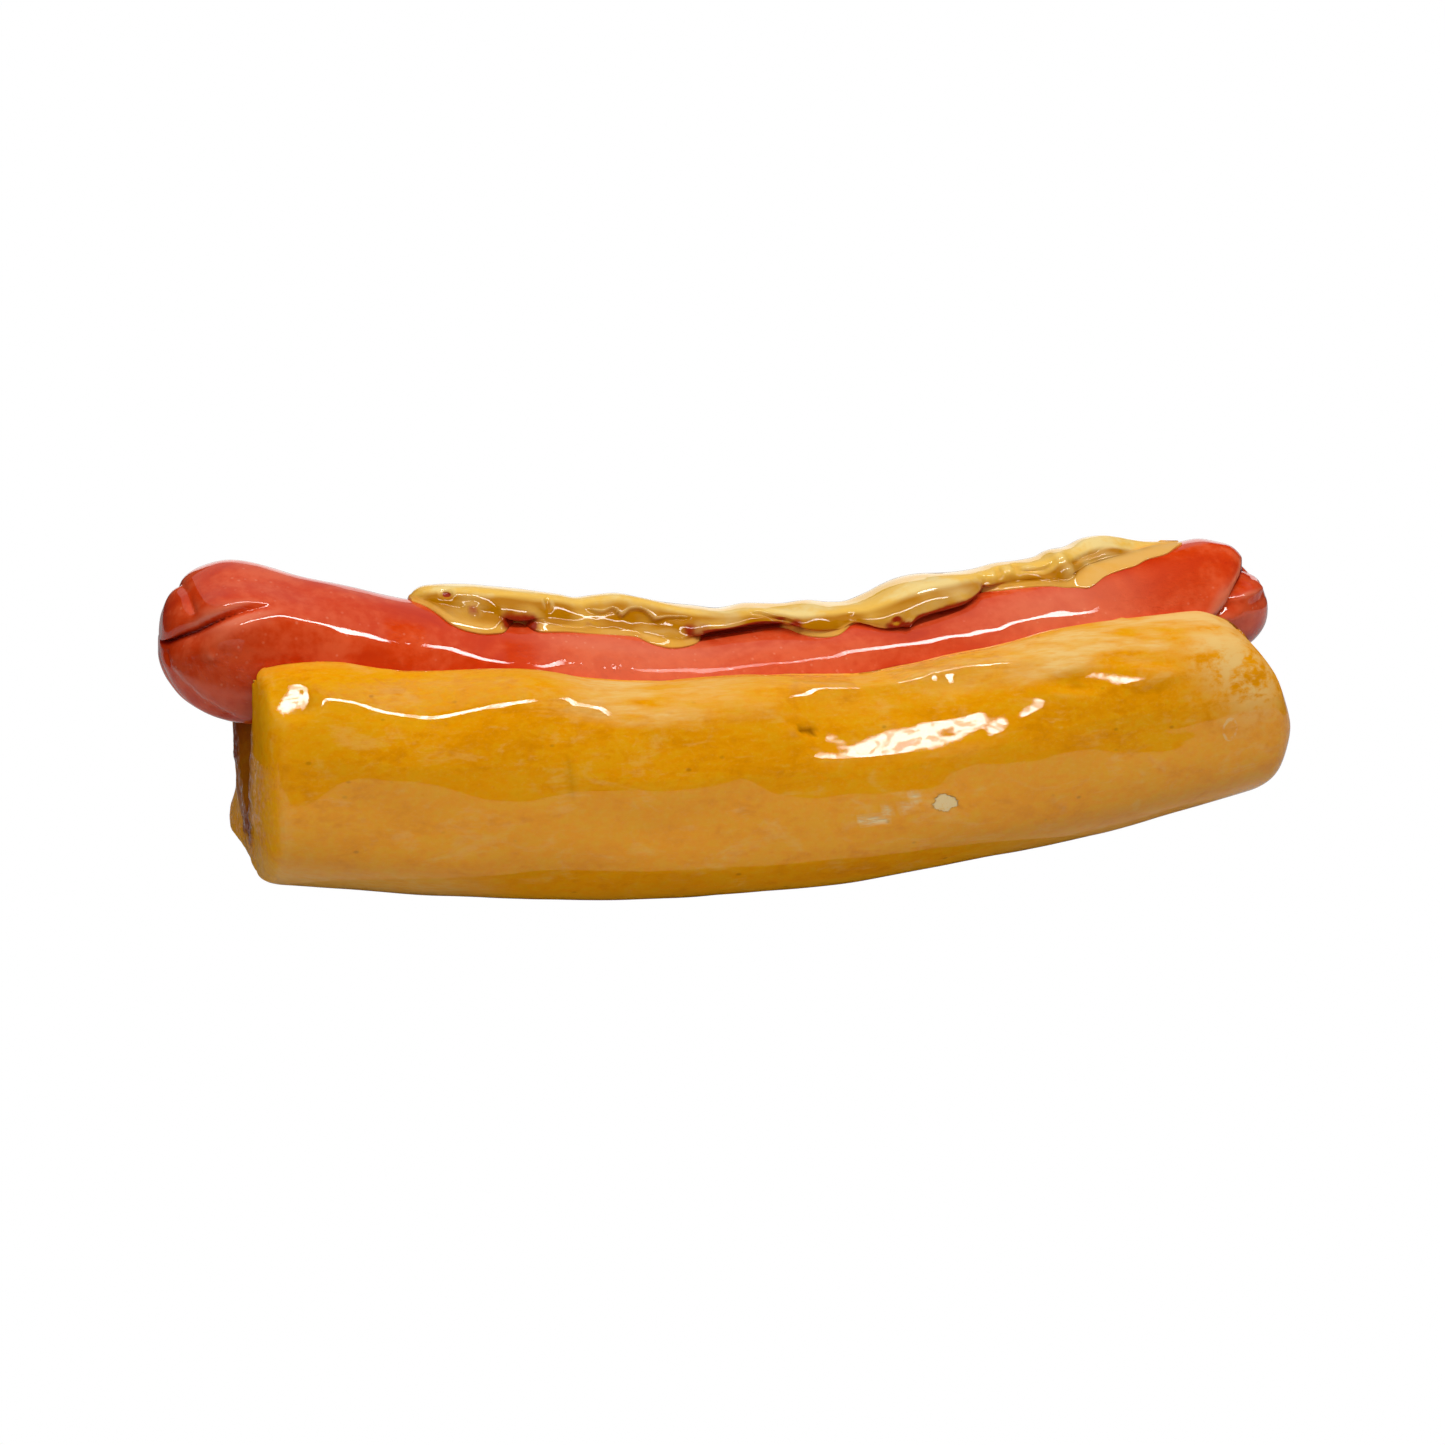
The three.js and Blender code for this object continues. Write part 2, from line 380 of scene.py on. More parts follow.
@dataclass
class Skin:
    """A closed skin that is pulled out along X, one ring of points after another.

    Attributes:
        name: Name of the piece.
        rings: The rings, all with the same number of points. Points that end on each other at
            the first and last ring are joined there.
        levels: How often the skin is subdivided smoothly.
        inner_from: The first place in a ring that lies inside, kept for each point as "inner".
        weld: How near to each other points are joined.
    """

    name: str
    rings: list[Array]
    levels: int
    inner_from: int = 0
    weld: float = 0.002

    def build(self) -> Piece:
        """Extrudes the skin ring by ring, closes it and rounds it.

        Returns:
            The new piece, with its place in its mesh.
        """
        deselect_all()
        bpy.ops.mesh.primitive_circle_add(vertices=len(self.rings[0]), fill_type="NOTHING")
        piece = bpy.context.object
        piece.name = piece.data.name = self.name
        bpy.ops.object.mode_set(mode="EDIT")
        places = bmesh.from_edit_mesh(piece.data).verts.layers.int.new("place")
        for index, vertex in enumerate(bmesh.from_edit_mesh(piece.data).verts):
            vertex[places] = index
        self._settle(piece, self.rings[0])
        for ring in self.rings[1:]:
            bpy.ops.mesh.extrude_edges_indiv()
            self._settle(piece, ring)
        bpy.ops.mesh.select_all(action="SELECT")
        bpy.ops.mesh.remove_doubles(threshold=self.weld * MM)
        bpy.ops.mesh.normals_make_consistent(inside=False)
        if bmesh.from_edit_mesh(piece.data).calc_volume(signed=True) < 0.0:
            bpy.ops.mesh.flip_normals()
        bpy.ops.object.mode_set(mode="OBJECT")
        places = piece.data.attributes["place"]
        order = np.empty(len(piece.data.vertices), np.int32)
        places.data.foreach_get("value", order)
        piece.data.attributes.remove(places)
        inner = piece.data.attributes.new("inner", "FLOAT", "POINT")
        inner.data.foreach_set("value", (order >= self.inner_from).astype(float))
        rounding = piece.modifiers.new("rounding", "SUBSURF")
        rounding.levels = rounding.render_levels = self.levels
        bpy.ops.object.modifier_apply(modifier=rounding.name)
        bpy.ops.object.shade_smooth()
        return piece

    @staticmethod
    def _settle(piece: Piece, ring: Array) -> None:
        """Moves the selected points of a piece to their places in a ring.

        Args:
            piece: The piece, in edit mode.
            ring: The ring, one point a row.
        """
        mesh = bmesh.from_edit_mesh(piece.data)
        places = mesh.verts.layers.int["place"]
        for vertex in mesh.verts:
            if vertex.select:
                vertex.co = ring[vertex[places]] * MM
        bmesh.update_edit_mesh(piece.data)


class Clay:
    """The points of a piece, as they are pushed and pulled by hand, in millimetres."""

    def __init__(self, piece: Piece) -> None:
        """Reads a piece's points and edges.

        Args:
            piece: The piece, in object mode.
        """
        self.mesh: bpy.types.Mesh = piece.data
        count = len(self.mesh.vertices)
        flat = np.empty(count * 3)
        self.mesh.vertices.foreach_get("co", flat)
        self.points: Array = flat.reshape(-1, 3) / MM
        ends = np.empty(len(self.mesh.edges) * 2, np.int64)
        self.mesh.edges.foreach_get("vertices", ends)
        self.ends: Array = ends.reshape(-1, 2)
        self.normals = np.zeros_like(self.points)
        self.write()

    def write(self) -> None:
        """Puts the points back into the mesh and works their normals out again."""
        self.mesh.vertices.foreach_set("co", (self.points * MM).ravel())
        self.mesh.update()
        flat = np.empty(len(self.points) * 3)
        self.mesh.vertex_normals.foreach_get("vector", flat)
        self.normals = flat.reshape(-1, 3)

    def push(self, amount: Array) -> None:
        """Moves the points out along their normals, and in where the amount is negative."""
        self.points += self.normals * np.asarray(amount)[:, None]
        self.write()

    def average(self, values: Array, rounds: int) -> Array:
        """Spreads values along the mesh's edges.

        Args:
            values: A number, or a row of them, for each point.
            rounds: How many edges far they spread.

        Returns:
            The smoothed values.
        """
        values = np.asarray(values, float)
        degree = np.bincount(self.ends.ravel(), minlength=len(values)).astype(float)
        degree = degree.reshape((-1,) + (1,) * (values.ndim - 1))
        a, b = self.ends.T
        for _ in range(rounds):
            total = np.zeros_like(values)
            np.add.at(total, a, values[b])
            np.add.at(total, b, values[a])
            values = (values + total / degree) / 2.0
        return values

    def crest(self, rounds: int = 3, reach: int = 6) -> Array:
        """How far the skin bulges at each point: above 0 on ridges, below 0 in hollows."""
        smooth = self.average(self.points, reach)
        return self.average(((self.points - smooth) * self.normals).sum(axis=1), rounds)

    def near(self, path: Stroke, squash: Point = (1.0, 1.0, 1.0)) -> Array:
        """Distance of every point from a path.

        Args:
            path: The path's corners, one alone for a spot.
            squash: How much each axis counts.

        Returns:
            The distance of each point.
        """
        points, corners = self.points * squash, [np.multiply(corner, squash) for corner in path]
        if len(corners) == 1:
            return np.linalg.norm(points - corners[0], axis=1)
        pairs = zip(corners, corners[1:])
        return np.min([beside_segment(points, start, end)[1] for start, end in pairs], axis=0)

    def groove(self, path: Stroke, depth: float, width: float, hollow: float) -> None:
        """Draws a sharp groove along a path.

        Args:
            path: The path's corners.
            depth: How deep the groove is.
            width: How wide it is.
            hollow: How deep the hollow is that lies round it, four times as wide.
        """
        away = self.near(path)
        self.push(-depth * np.exp(-away / width) - hollow * bell(away, width * 4.0))

    def press(self, spot: FlatSpot) -> None:
        """Pats a spot of the piece flat.

        Args:
            spot: The spot.
        """
        facing = np.array(towards(spot.turn, spot.lean))
        away = self.points - np.array(spot.middle)
        height = away @ facing
        across = np.hypot(away[:, 0] / spot.long, away[:, 2] / spot.tall)
        share = spot.fade.down(across) * bell(height, spot.reach)
        height -= np.average(height, weights=share)
        self.points -= (share * height)[:, None] * facing
        self.write()

    def stroke(self, path: Stroke) -> Array:
        """How far points lie outside a stroke, as the front shows it.

        Args:
            path: The stroke's corners, each as X, Z and half the stroke's width there.

        Returns:
            The distance from the stroke's edge for each point, below 0 inside it.
        """
        spots, outside = self.points[:, [0, 2]], []
        for (*start, first), (*end, last) in zip(path, path[1:]):
            t, away = beside_segment(spots, start, end)
            outside.append(away - first - t * (last - first))
        return np.min(outside, axis=0)

    def rough(self, lumps: Lumps) -> Array:
        """Lays uneven noise over the piece.

        Args:
            lumps: What the noise is like.

        Returns:
            Noise for each point, of about -1 to 1 times the lumps' height.
        """
        places = (self.points / np.array(lumps.size) + lumps.seed).tolist()
        values = [noise.fractal(place, 1.0, 2.0, lumps.octaves) for place in places]
        return lumps.height * np.array(values)

    def paint(self, name: str, values: Array) -> None:
        """Keeps a number for each point, which a glaze reads by its name."""
        layer = self.mesh.attributes.new(name, "FLOAT", "POINT")
        layer.data.foreach_set("value", np.asarray(values, float))

    def read(self, name: str) -> Array:
        """Reads what was kept for each point.

        Args:
            name: The name that it was kept under.

        Returns:
            The number of each point.
        """
        values = np.empty(len(self.points))
        self.mesh.attributes[name].data.foreach_get("value", values)
        return values

    def keep_inside(self, low: Vector, high: Vector) -> None:
        """Holds the points inside a box, given in metres."""
        self.points = np.clip(self.points, np.array(low) / MM, np.array(high) / MM)
        self.write()


# ---- Glazes ---------------------------------------------------------------------------------

Number = Union[float, "Shade"]


def srgb(red: int, green: int, blue: int) -> Colour:
    """Turns a colour on the usual 0 to 255 scale into the linear one that shaders use."""
    scaled = (channel / 255.0 for channel in (red, green, blue))
    return tuple(c / 12.92 if c <= 0.04045 else ((c + 0.055) / 1.055) ** 2.4 for c in scaled)


class Shade:
    """A number that varies over a surface, which Python's operators work on."""

    def __init__(self, nodes: "Nodes", socket: Socket) -> None:
        """Wraps a socket of a node tree."""
        self.nodes = nodes
        self.socket = socket

    def _math(self, operation: str, *values: Number) -> "Shade":
        """Adds one Math node over the given values."""
        made = self.nodes.add("ShaderNodeMath", {"operation": operation}, *values)
        return Shade(self.nodes, made.outputs[0])

    def __add__(self, other: Number) -> "Shade":
        """Adds."""
        return self._math("ADD", self, other)

    def __sub__(self, other: Number) -> "Shade":
        """Subtracts."""
        return self._math("SUBTRACT", self, other)

    def __rsub__(self, other: Number) -> "Shade":
        """Subtracts from a number."""
        return self._math("SUBTRACT", other, self)

    def __mul__(self, other: Number) -> "Shade":
        """Multiplies."""
        return self._math("MULTIPLY", self, other)

    __radd__ = __add__
    __rmul__ = __mul__

    def between(self, low: float, high: float) -> "Shade":
        """Goes smoothly from 0 at low to 1 at high, whichever of them is greater."""
        made = self.nodes.add(
            "ShaderNodeMapRange",
            {"interpolation_type": "SMOOTHSTEP"},
            **{"Value": self, "From Min": low, "From Max": high},
        )
        return Shade(self.nodes, made.outputs[0])

    def limit(self) -> "Shade":
        """Holds the number between 0 and 1."""
        return Shade(self.nodes, self.nodes.add("ShaderNodeClamp", {}, self).outputs[0])


class Nodes:
    """The node tree of one material."""

    def __init__(self, name: str) -> None:
        """Starts an empty material.

        Args:
            name: Name of the material.
        """
        self.material = bpy.data.materials.new(name)
        self.material.use_nodes = True
        self.tree = self.material.node_tree
        self.tree.nodes.clear()
        self._place = self.add("ShaderNodeTexCoord", {}).outputs["Object"]

    def add(self, kind: str, settings: dict, *values: object, **named: object) -> bpy.types.Node:
        """Adds a node.

        Args:
            kind: The node's type.
            settings: Its own settings, which are made first.
            *values: Values or links of its first sockets, in order.
            **named: Values or links of its sockets by name.

        Returns:
            The node.
        """
        node = self.tree.nodes.new(kind)
        for key, value in settings.items():
            setattr(node, key, value)
        sockets = [(node.inputs[i], value) for i, value in enumerate(values)]
        sockets += [(node.inputs[key], value) for key, value in named.items()]
        for socket, value in sockets:
            if isinstance(value, Shade):
                value = value.socket
            if isinstance(value, Socket):
                self.tree.links.new(value, socket)
            elif value is not None:
                wide = isinstance(value, tuple) and len(socket.default_value) == 4
                socket.default_value = (*value, 1.0) if wide and len(value) == 3 else value
        return node

    def place(self, stretch: Point = (1.0, 1.0, 1.0), shift: float = 0.0) -> Socket:
        """Millimetres on the piece, drawn out along each axis.

        Args:
            stretch: How much longer a pattern is along each axis.
            shift: How far the pattern is moved.

        Returns:
            The socket of the place.
        """
        made = self.add(
            "ShaderNodeMapping",
            {"vector_type": "POINT"},
            Vector=self._place,
            Scale=tuple(1.0 / MM / s for s in stretch),
            Location=(shift, shift, shift),
        )
        return made.outputs[0]

    def painted(self, name: str) -> Shade:
        """A number that was painted on the piece's points."""
        made = self.add("ShaderNodeAttribute", {"attribute_name": name})
        return Shade(self, made.outputs["Fac"])

    def cloud(
        self,
        size: float,
        stretch: Point = (1.0, 1.0, 1.0),
        detail: float = 3.0,
        warp: float = 0.0,
        shift: float = 0.0,
        grit: float = 0.5,
    ) -> Shade:
        """Soft noise.

        Args:
            size: How large its patches are, in millimetres.
            stretch: How much longer they are along each axis.
            detail: How much fine detail they have.
            warp: How much they swirl.
            shift: Where in the noise the piece lies.
            grit: How strong that detail is.

        Returns:
            Noise from 0 to 1, mostly near the middle.
        """
        made = self.add(
            "ShaderNodeTexNoise",
            {},
            Vector=self.place(stretch, shift),
            Scale=1.0 / size,
            Detail=detail,
            Roughness=grit,
            Distortion=warp,
        )
        return Shade(self, made.outputs["Fac"])

    def cells(self, size: float, stretch: Point = (1.0, 1.0, 1.0), shift: float = 0.0) -> Shade:
        """Distance from scattered specks, which are a size apart."""
        made = self.add(
            "ShaderNodeTexVoronoi", {}, Vector=self.place(stretch, shift), Scale=1.0 / size
        )
        return Shade(self, made.outputs["Distance"])

    def away(self, centre: Point, size: Point) -> Shade:
        """Distance from a point.

        Args:
            centre: The point.
            size: What counts as a distance of 1 along each axis.

        Returns:
            The distance.
        """
        scaled = tuple(c / s for c, s in zip(centre, size))
        made = self.add(
            "ShaderNodeVectorMath", {"operation": "DISTANCE"}, self.place(size), scaled
        )
        return Shade(self, made.outputs["Value"])

    def mix(self, factor: Number, first: object, second: object) -> Socket:
        """Goes from one colour to another.

        Args:
            factor: How far it goes, from 0 to 1.
            first: The colour at 0, or its socket.
            second: The colour at 1, or its socket.

        Returns:
            The socket of the colour.
        """
        made = self.add("ShaderNodeMix", {"data_type": "RGBA"}, factor)
        for socket, value in ((made.inputs[6], first), (made.inputs[7], second)):
            if isinstance(value, tuple):
                socket.default_value = (*value, 1.0)
            else:
                self.tree.links.new(value, socket)
        return made.outputs[2]

    def layers(self, colour: Socket, *layers: tuple[Number, object]) -> Socket:
        """Lays colours over one another.

        Args:
            colour: The lowest colour.
            *layers: How strong each further colour is, from 0 to 1, and the colour.

        Returns:
            The socket of the colour.
        """
        for factor, over in layers:
            colour = self.mix(factor, colour, over)
        return colour

    def finish(
        self,
        colour: Socket,
        roughness: Number,
        relief: Shade,
        depth: float,
        coat: Number = 1.0,
    ) -> Material:
        """Ends the material in a glossy glaze.

        Args:
            colour: Colour of the glaze.
            roughness: Roughness of the body under its clear coat.
            relief: Height of its fine relief, from 0 to 1.
            depth: What a relief of 1 stands for, in millimetres.
            coat: How much clear coat there is.

        Returns:
            The material.
        """
        bump = self.add(
            "ShaderNodeBump", {}, Strength=1.0, Distance=depth * MM, Height=relief.socket
        )
        body = self.add(
            "ShaderNodeBsdfPrincipled",
            {},
            **{
                "Base Color": colour,
                "Roughness": roughness,
                "IOR": 1.45,
                "Specular IOR Level": 0.0,
                "Coat Weight": coat,
                "Coat Roughness": 0.025,
                "Coat IOR": 1.55,
                "Normal": bump.outputs[0],
            },
        )
        self.add("ShaderNodeOutputMaterial", {}, body.outputs[0])
        return self.material


@dataclass(frozen=True)
class BunGlaze:
    """Amber glaze brushed over pale clay: thin on edges, deeper where it has run together, with
    painted light, shade, reflection and a highlight.
    """

    amber: Colour = srgb(244, 157, 0)
    deep: Colour = srgb(216, 130, 0)
    tan: Colour = srgb(240, 174, 22)
    # Painted light: a paler amber laid on the very foot, where the bottom lies in shade.
    painted_foot_light: Colour = srgb(255, 184, 34)
    edge: Colour = srgb(246, 200, 120)
    # Colour where glaze ran together in hollows, also laid in the gash as painted shade.
    pooled_and_shade: Colour = srgb(170, 104, 2)
    clay: Colour = srgb(240, 212, 156)
    # Painted shade: dark red-brown laid inside the open ends, where the cavities lie in shade.
    inside: Colour = srgb(130, 52, 8)
    speck: Colour = srgb(120, 62, 6)
    chip: Point = (36.4, -38.0, 23.0)
    chip_size: Point = (3.0, 12.0, 2.1)
    # A scratch ring near the right end, painted pale as a painted highlight of its glint.
    ring: Point = (112.6, -33.0, 34.2)
    glint_ring_size: Point = (1.9, 12.0, 2.6)

    def material(self) -> Material:
        """Mixes the glaze.

        Returns:
            The material.
        """
        nodes = Nodes("bun_glaze")
        painted = nodes.painted
        strokes = nodes.cloud(8.0, (3.6, 1.0, 1.0), 7.0, 0.8, grit=0.62)
        broad = nodes.cloud(30.0, (1.8, 1.0, 0.8), 3.0, 0.4, 7.3)
        blotches = nodes.cloud(5.0, (1.5, 1.0, 1.0), 7.0, 0.5, 1.9, 0.66)
        fine = nodes.cloud(1.6, (1.6, 1.0, 1.0), 5.0, 0.2, 3.1, 0.6)
        hairs = nodes.cloud(0.8, (5.0, 1.0, 1.0), 3.0, 0.3, 5.7)
        grain = nodes.cloud(0.7, (1.5, 1.0, 1.0), 3.0, 0.0, 4.1, 0.7)
        thin = strokes * 0.45 + broad * 0.25 + blotches * 0.3 + (fine - 0.5) * 0.5
        thick = (strokes * 0.45 + blotches * 0.4 + fine * 0.15).between(0.5, 0.36)
        smudge = nodes.cloud(8.0, (1.9, 1.0, 1.0), 5.0, 1.2, 8.8, 0.6) * 0.8 + hairs * 0.2
        flecks = nodes.cells(6.0, (1.6, 1.0, 1.0), 6.0).between(0.1, 0.03)
        # Painted highlight: a pale ring where a scratch catches the light.
        scratch_glint = nodes.away(self.ring, self.glint_ring_size) + (fine - 0.5) * 0.5
        scratch_glint = scratch_glint.between(0.78, 0.92) * scratch_glint.between(1.22, 1.08)
        scraped = painted("scraped") * (0.3 + hairs.between(0.4, 0.6) * 0.7)
        chipped = nodes.away(self.chip, self.chip_size) + (fine - 0.5) * 1.2 + (blotches - 0.5)
        bare = chipped.between(1.06, 0.94)
        colour = nodes.layers(
            nodes.mix(
                thin.between(0.42, 0.62) * 0.6 + (hairs - 0.5) * 0.4, self.amber, self.tan
            ),
            (thick * 0.5, self.deep),
            (smudge.between(0.52, 0.68) * 0.24, self.edge),
            (grain.between(0.5, 0.72) * 0.14, self.deep),
            (grain.between(0.5, 0.3) * 0.08, self.edge),
            # Painted light at the very foot, where the bottom lies in shade.
            (painted("foot").limit(), self.painted_foot_light),
            # Paler where the glaze is thin, and near the bottom a painted reflection of the
            # table.
            ((painted("thin") * (0.8 + (hairs - 0.5) * 1.6)).limit(), self.edge),
            # Darker where glaze ran together in hollows and along the seam, and painted shade in
            # the gash.
            (painted("pooled_and_shade").limit(), self.pooled_and_shade),
            # Painted shade inside the open ends.
            ((painted("inside") * (0.7 + broad.between(0.6, 0.4) * 0.3)).limit(), self.inside),
            (flecks * broad.between(0.4, 0.55) * 0.35, self.speck),
            (painted("worn") * (blotches * 0.6 + fine * 0.4).between(0.4, 0.56), self.edge),
            # Painted highlight on the scratch ring.
            (scratch_glint * fine.between(0.4, 0.56) * 0.45, self.clay),
            ((scraped * 1.3).limit(), self.clay),
            (chipped.between(1.25, 1.05) * 0.16, self.speck),
            (bare, nodes.mix(grain.between(0.55, 0.7) * 0.5, self.clay, self.tan)),
        )
        pits = nodes.cells(3.4, shift=2.0).between(0.16, 0.05)
        relief = nodes.cloud(9.0, (2.4, 1.0, 1.0), 2.0) * 0.5 + fine * 0.14 - pits * 0.12
        relief = relief + grain * 0.02 - bare * 1.2 - scraped * 0.5
        dry = painted("dry") + (fine - 0.5) * 0.7 + (blotches - 0.5) * 0.5
        gloss = dry.between(0.74, 0.26)
        swirl = nodes.cloud(3.2, (2.0, 1.0, 1.0), 4.0, 2.4, 2.2).between(0.5, 0.6)
        swirl = swirl * painted("dry").between(0.02, 0.1) * 0.6
        coat = (1.0 - bare) * gloss * gloss * (1.0 - swirl) * (1.0 - scraped * 0.8)
        return nodes.finish(colour, 0.34 + bare * 0.3, relief, 0.32, coat)


@dataclass(frozen=True)
class SausageGlaze:
    """Red-orange glaze, mottled with salmon where it is thin, with painted sheen along parts of
    the front and painted shade in the cuts.
    """

    red: Colour = srgb(220, 62, 10)
    deep: Colour = srgb(200, 40, 3)
    salmon: Colour = srgb(238, 98, 54)
    pale: Colour = srgb(244, 140, 104)
    shadow: Colour = srgb(140, 18, 4)

    def material(self) -> Material:
        """Mixes the glaze.

        Returns:
            The material.
        """
        nodes = Nodes("sausage_glaze")
        painted = nodes.painted
        broad = nodes.cloud(16.0, (1.6, 1.0, 1.0), 4.0, 0.8)
        fine = nodes.cloud(2.2, detail=4.0, shift=4.2)
        thin = (broad * 0.72 + fine * 0.28).between(0.42, 0.62)
        specks = nodes.cells(2.4, shift=1.0).between(0.2, 0.06) * broad.between(0.42, 0.6)
        colour = nodes.layers(
            nodes.mix(thin * 0.8, self.red, self.salmon),
            (broad.between(0.46, 0.32) * 0.7, self.deep),
            (specks * 0.55, self.pale),
            # Paler where the glaze is thin, and painted sheen along parts of the front.
            (painted("thin").limit(), self.pale),
            # Painted shade in the cuts and on the left end's underside.
            (painted("pooled_and_shade").limit(), self.shadow),
        )
        bubbles = nodes.cells(6.5, shift=9.0).between(0.11, 0.03)
        relief = nodes.cloud(8.0, (2.0, 1.0, 1.0), 2.0) * 0.5 + fine * 0.08 + bubbles * 0.3
        grain = nodes.cloud(0.9, (1.6, 1.0, 1.0), 3.0, shift=8.0)
        dry = painted("dry") * (1.0 - grain.between(0.56, 0.64) * 0.5)
        relief = relief + grain * dry * 0.35
        return nodes.finish(colour, 0.32 + fine * 0.06, relief, 0.28, 1.0 - dry)


@dataclass(frozen=True)
class MustardGlaze:
    """Ochre yellow glaze: pale on top, darker on the front faces and in hollows as painted shade
    where the glaze also lies thick, stained with the red.
    """

    ochre: Colour = srgb(254, 200, 84)
    pale: Colour = srgb(255, 222, 142)
    # Painted shade, partly thick glaze: the dark yellow-green of the front faces and hollows.
    olive_shade: Colour = srgb(194, 124, 0)
    film: Colour = srgb(240, 172, 66)
    stain: Colour = srgb(160, 42, 12)

    def material(self) -> Material:
        """Mixes the glaze.

        Returns:
            The material.
        """
        nodes = Nodes("mustard_glaze")
        painted = nodes.painted
        broad = nodes.cloud(9.0, (1.8, 1.0, 1.0), 3.0, 0.5)
        fine = nodes.cloud(1.8, detail=3.0, shift=5.0)
        olive_shade = painted("olive_shade").limit()
        ragged = painted("stain") + (fine - 0.5) * 0.5
        colour = nodes.layers(
            nodes.mix((broad * 0.8 + fine * 0.2).between(0.44, 0.62), self.ochre, self.pale),
            # Painted shade on the front faces and in hollows, partly thick glaze.
            (olive_shade, self.olive_shade),
            (painted("thin").limit(), self.pale),
            (painted("film").limit() * 0.8, self.film),
            (ragged.between(0.2, 0.95), self.stain),
        )
        relief = nodes.cloud(7.0, (1.6, 1.0, 1.0), 1.0) * 0.4 + fine * 0.05
        coat = 1.0 - olive_shade * 0.4 - painted("dull").limit() * 0.55
        return nodes.finish(colour, 0.3 + fine * 0.06, relief, 0.16, coat)


def dress(piece: Piece, material: Material, node: str) -> None:
    """Gives a piece its glaze and puts it in the place of its solid.

    Args:
        piece: The finished piece.
        material: Its glaze.
        node: The solid that it stands for.
    """
    piece.data.materials.clear()
    piece.data.materials.append(material)
    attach(piece, "root")
    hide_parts(node)
    faces = len(piece.data.polygons)
    log.info("%s: %d faces, about %d triangles", piece.name, faces, faces * 2)


# ---- Bun ------------------------------------------------------------------------------------


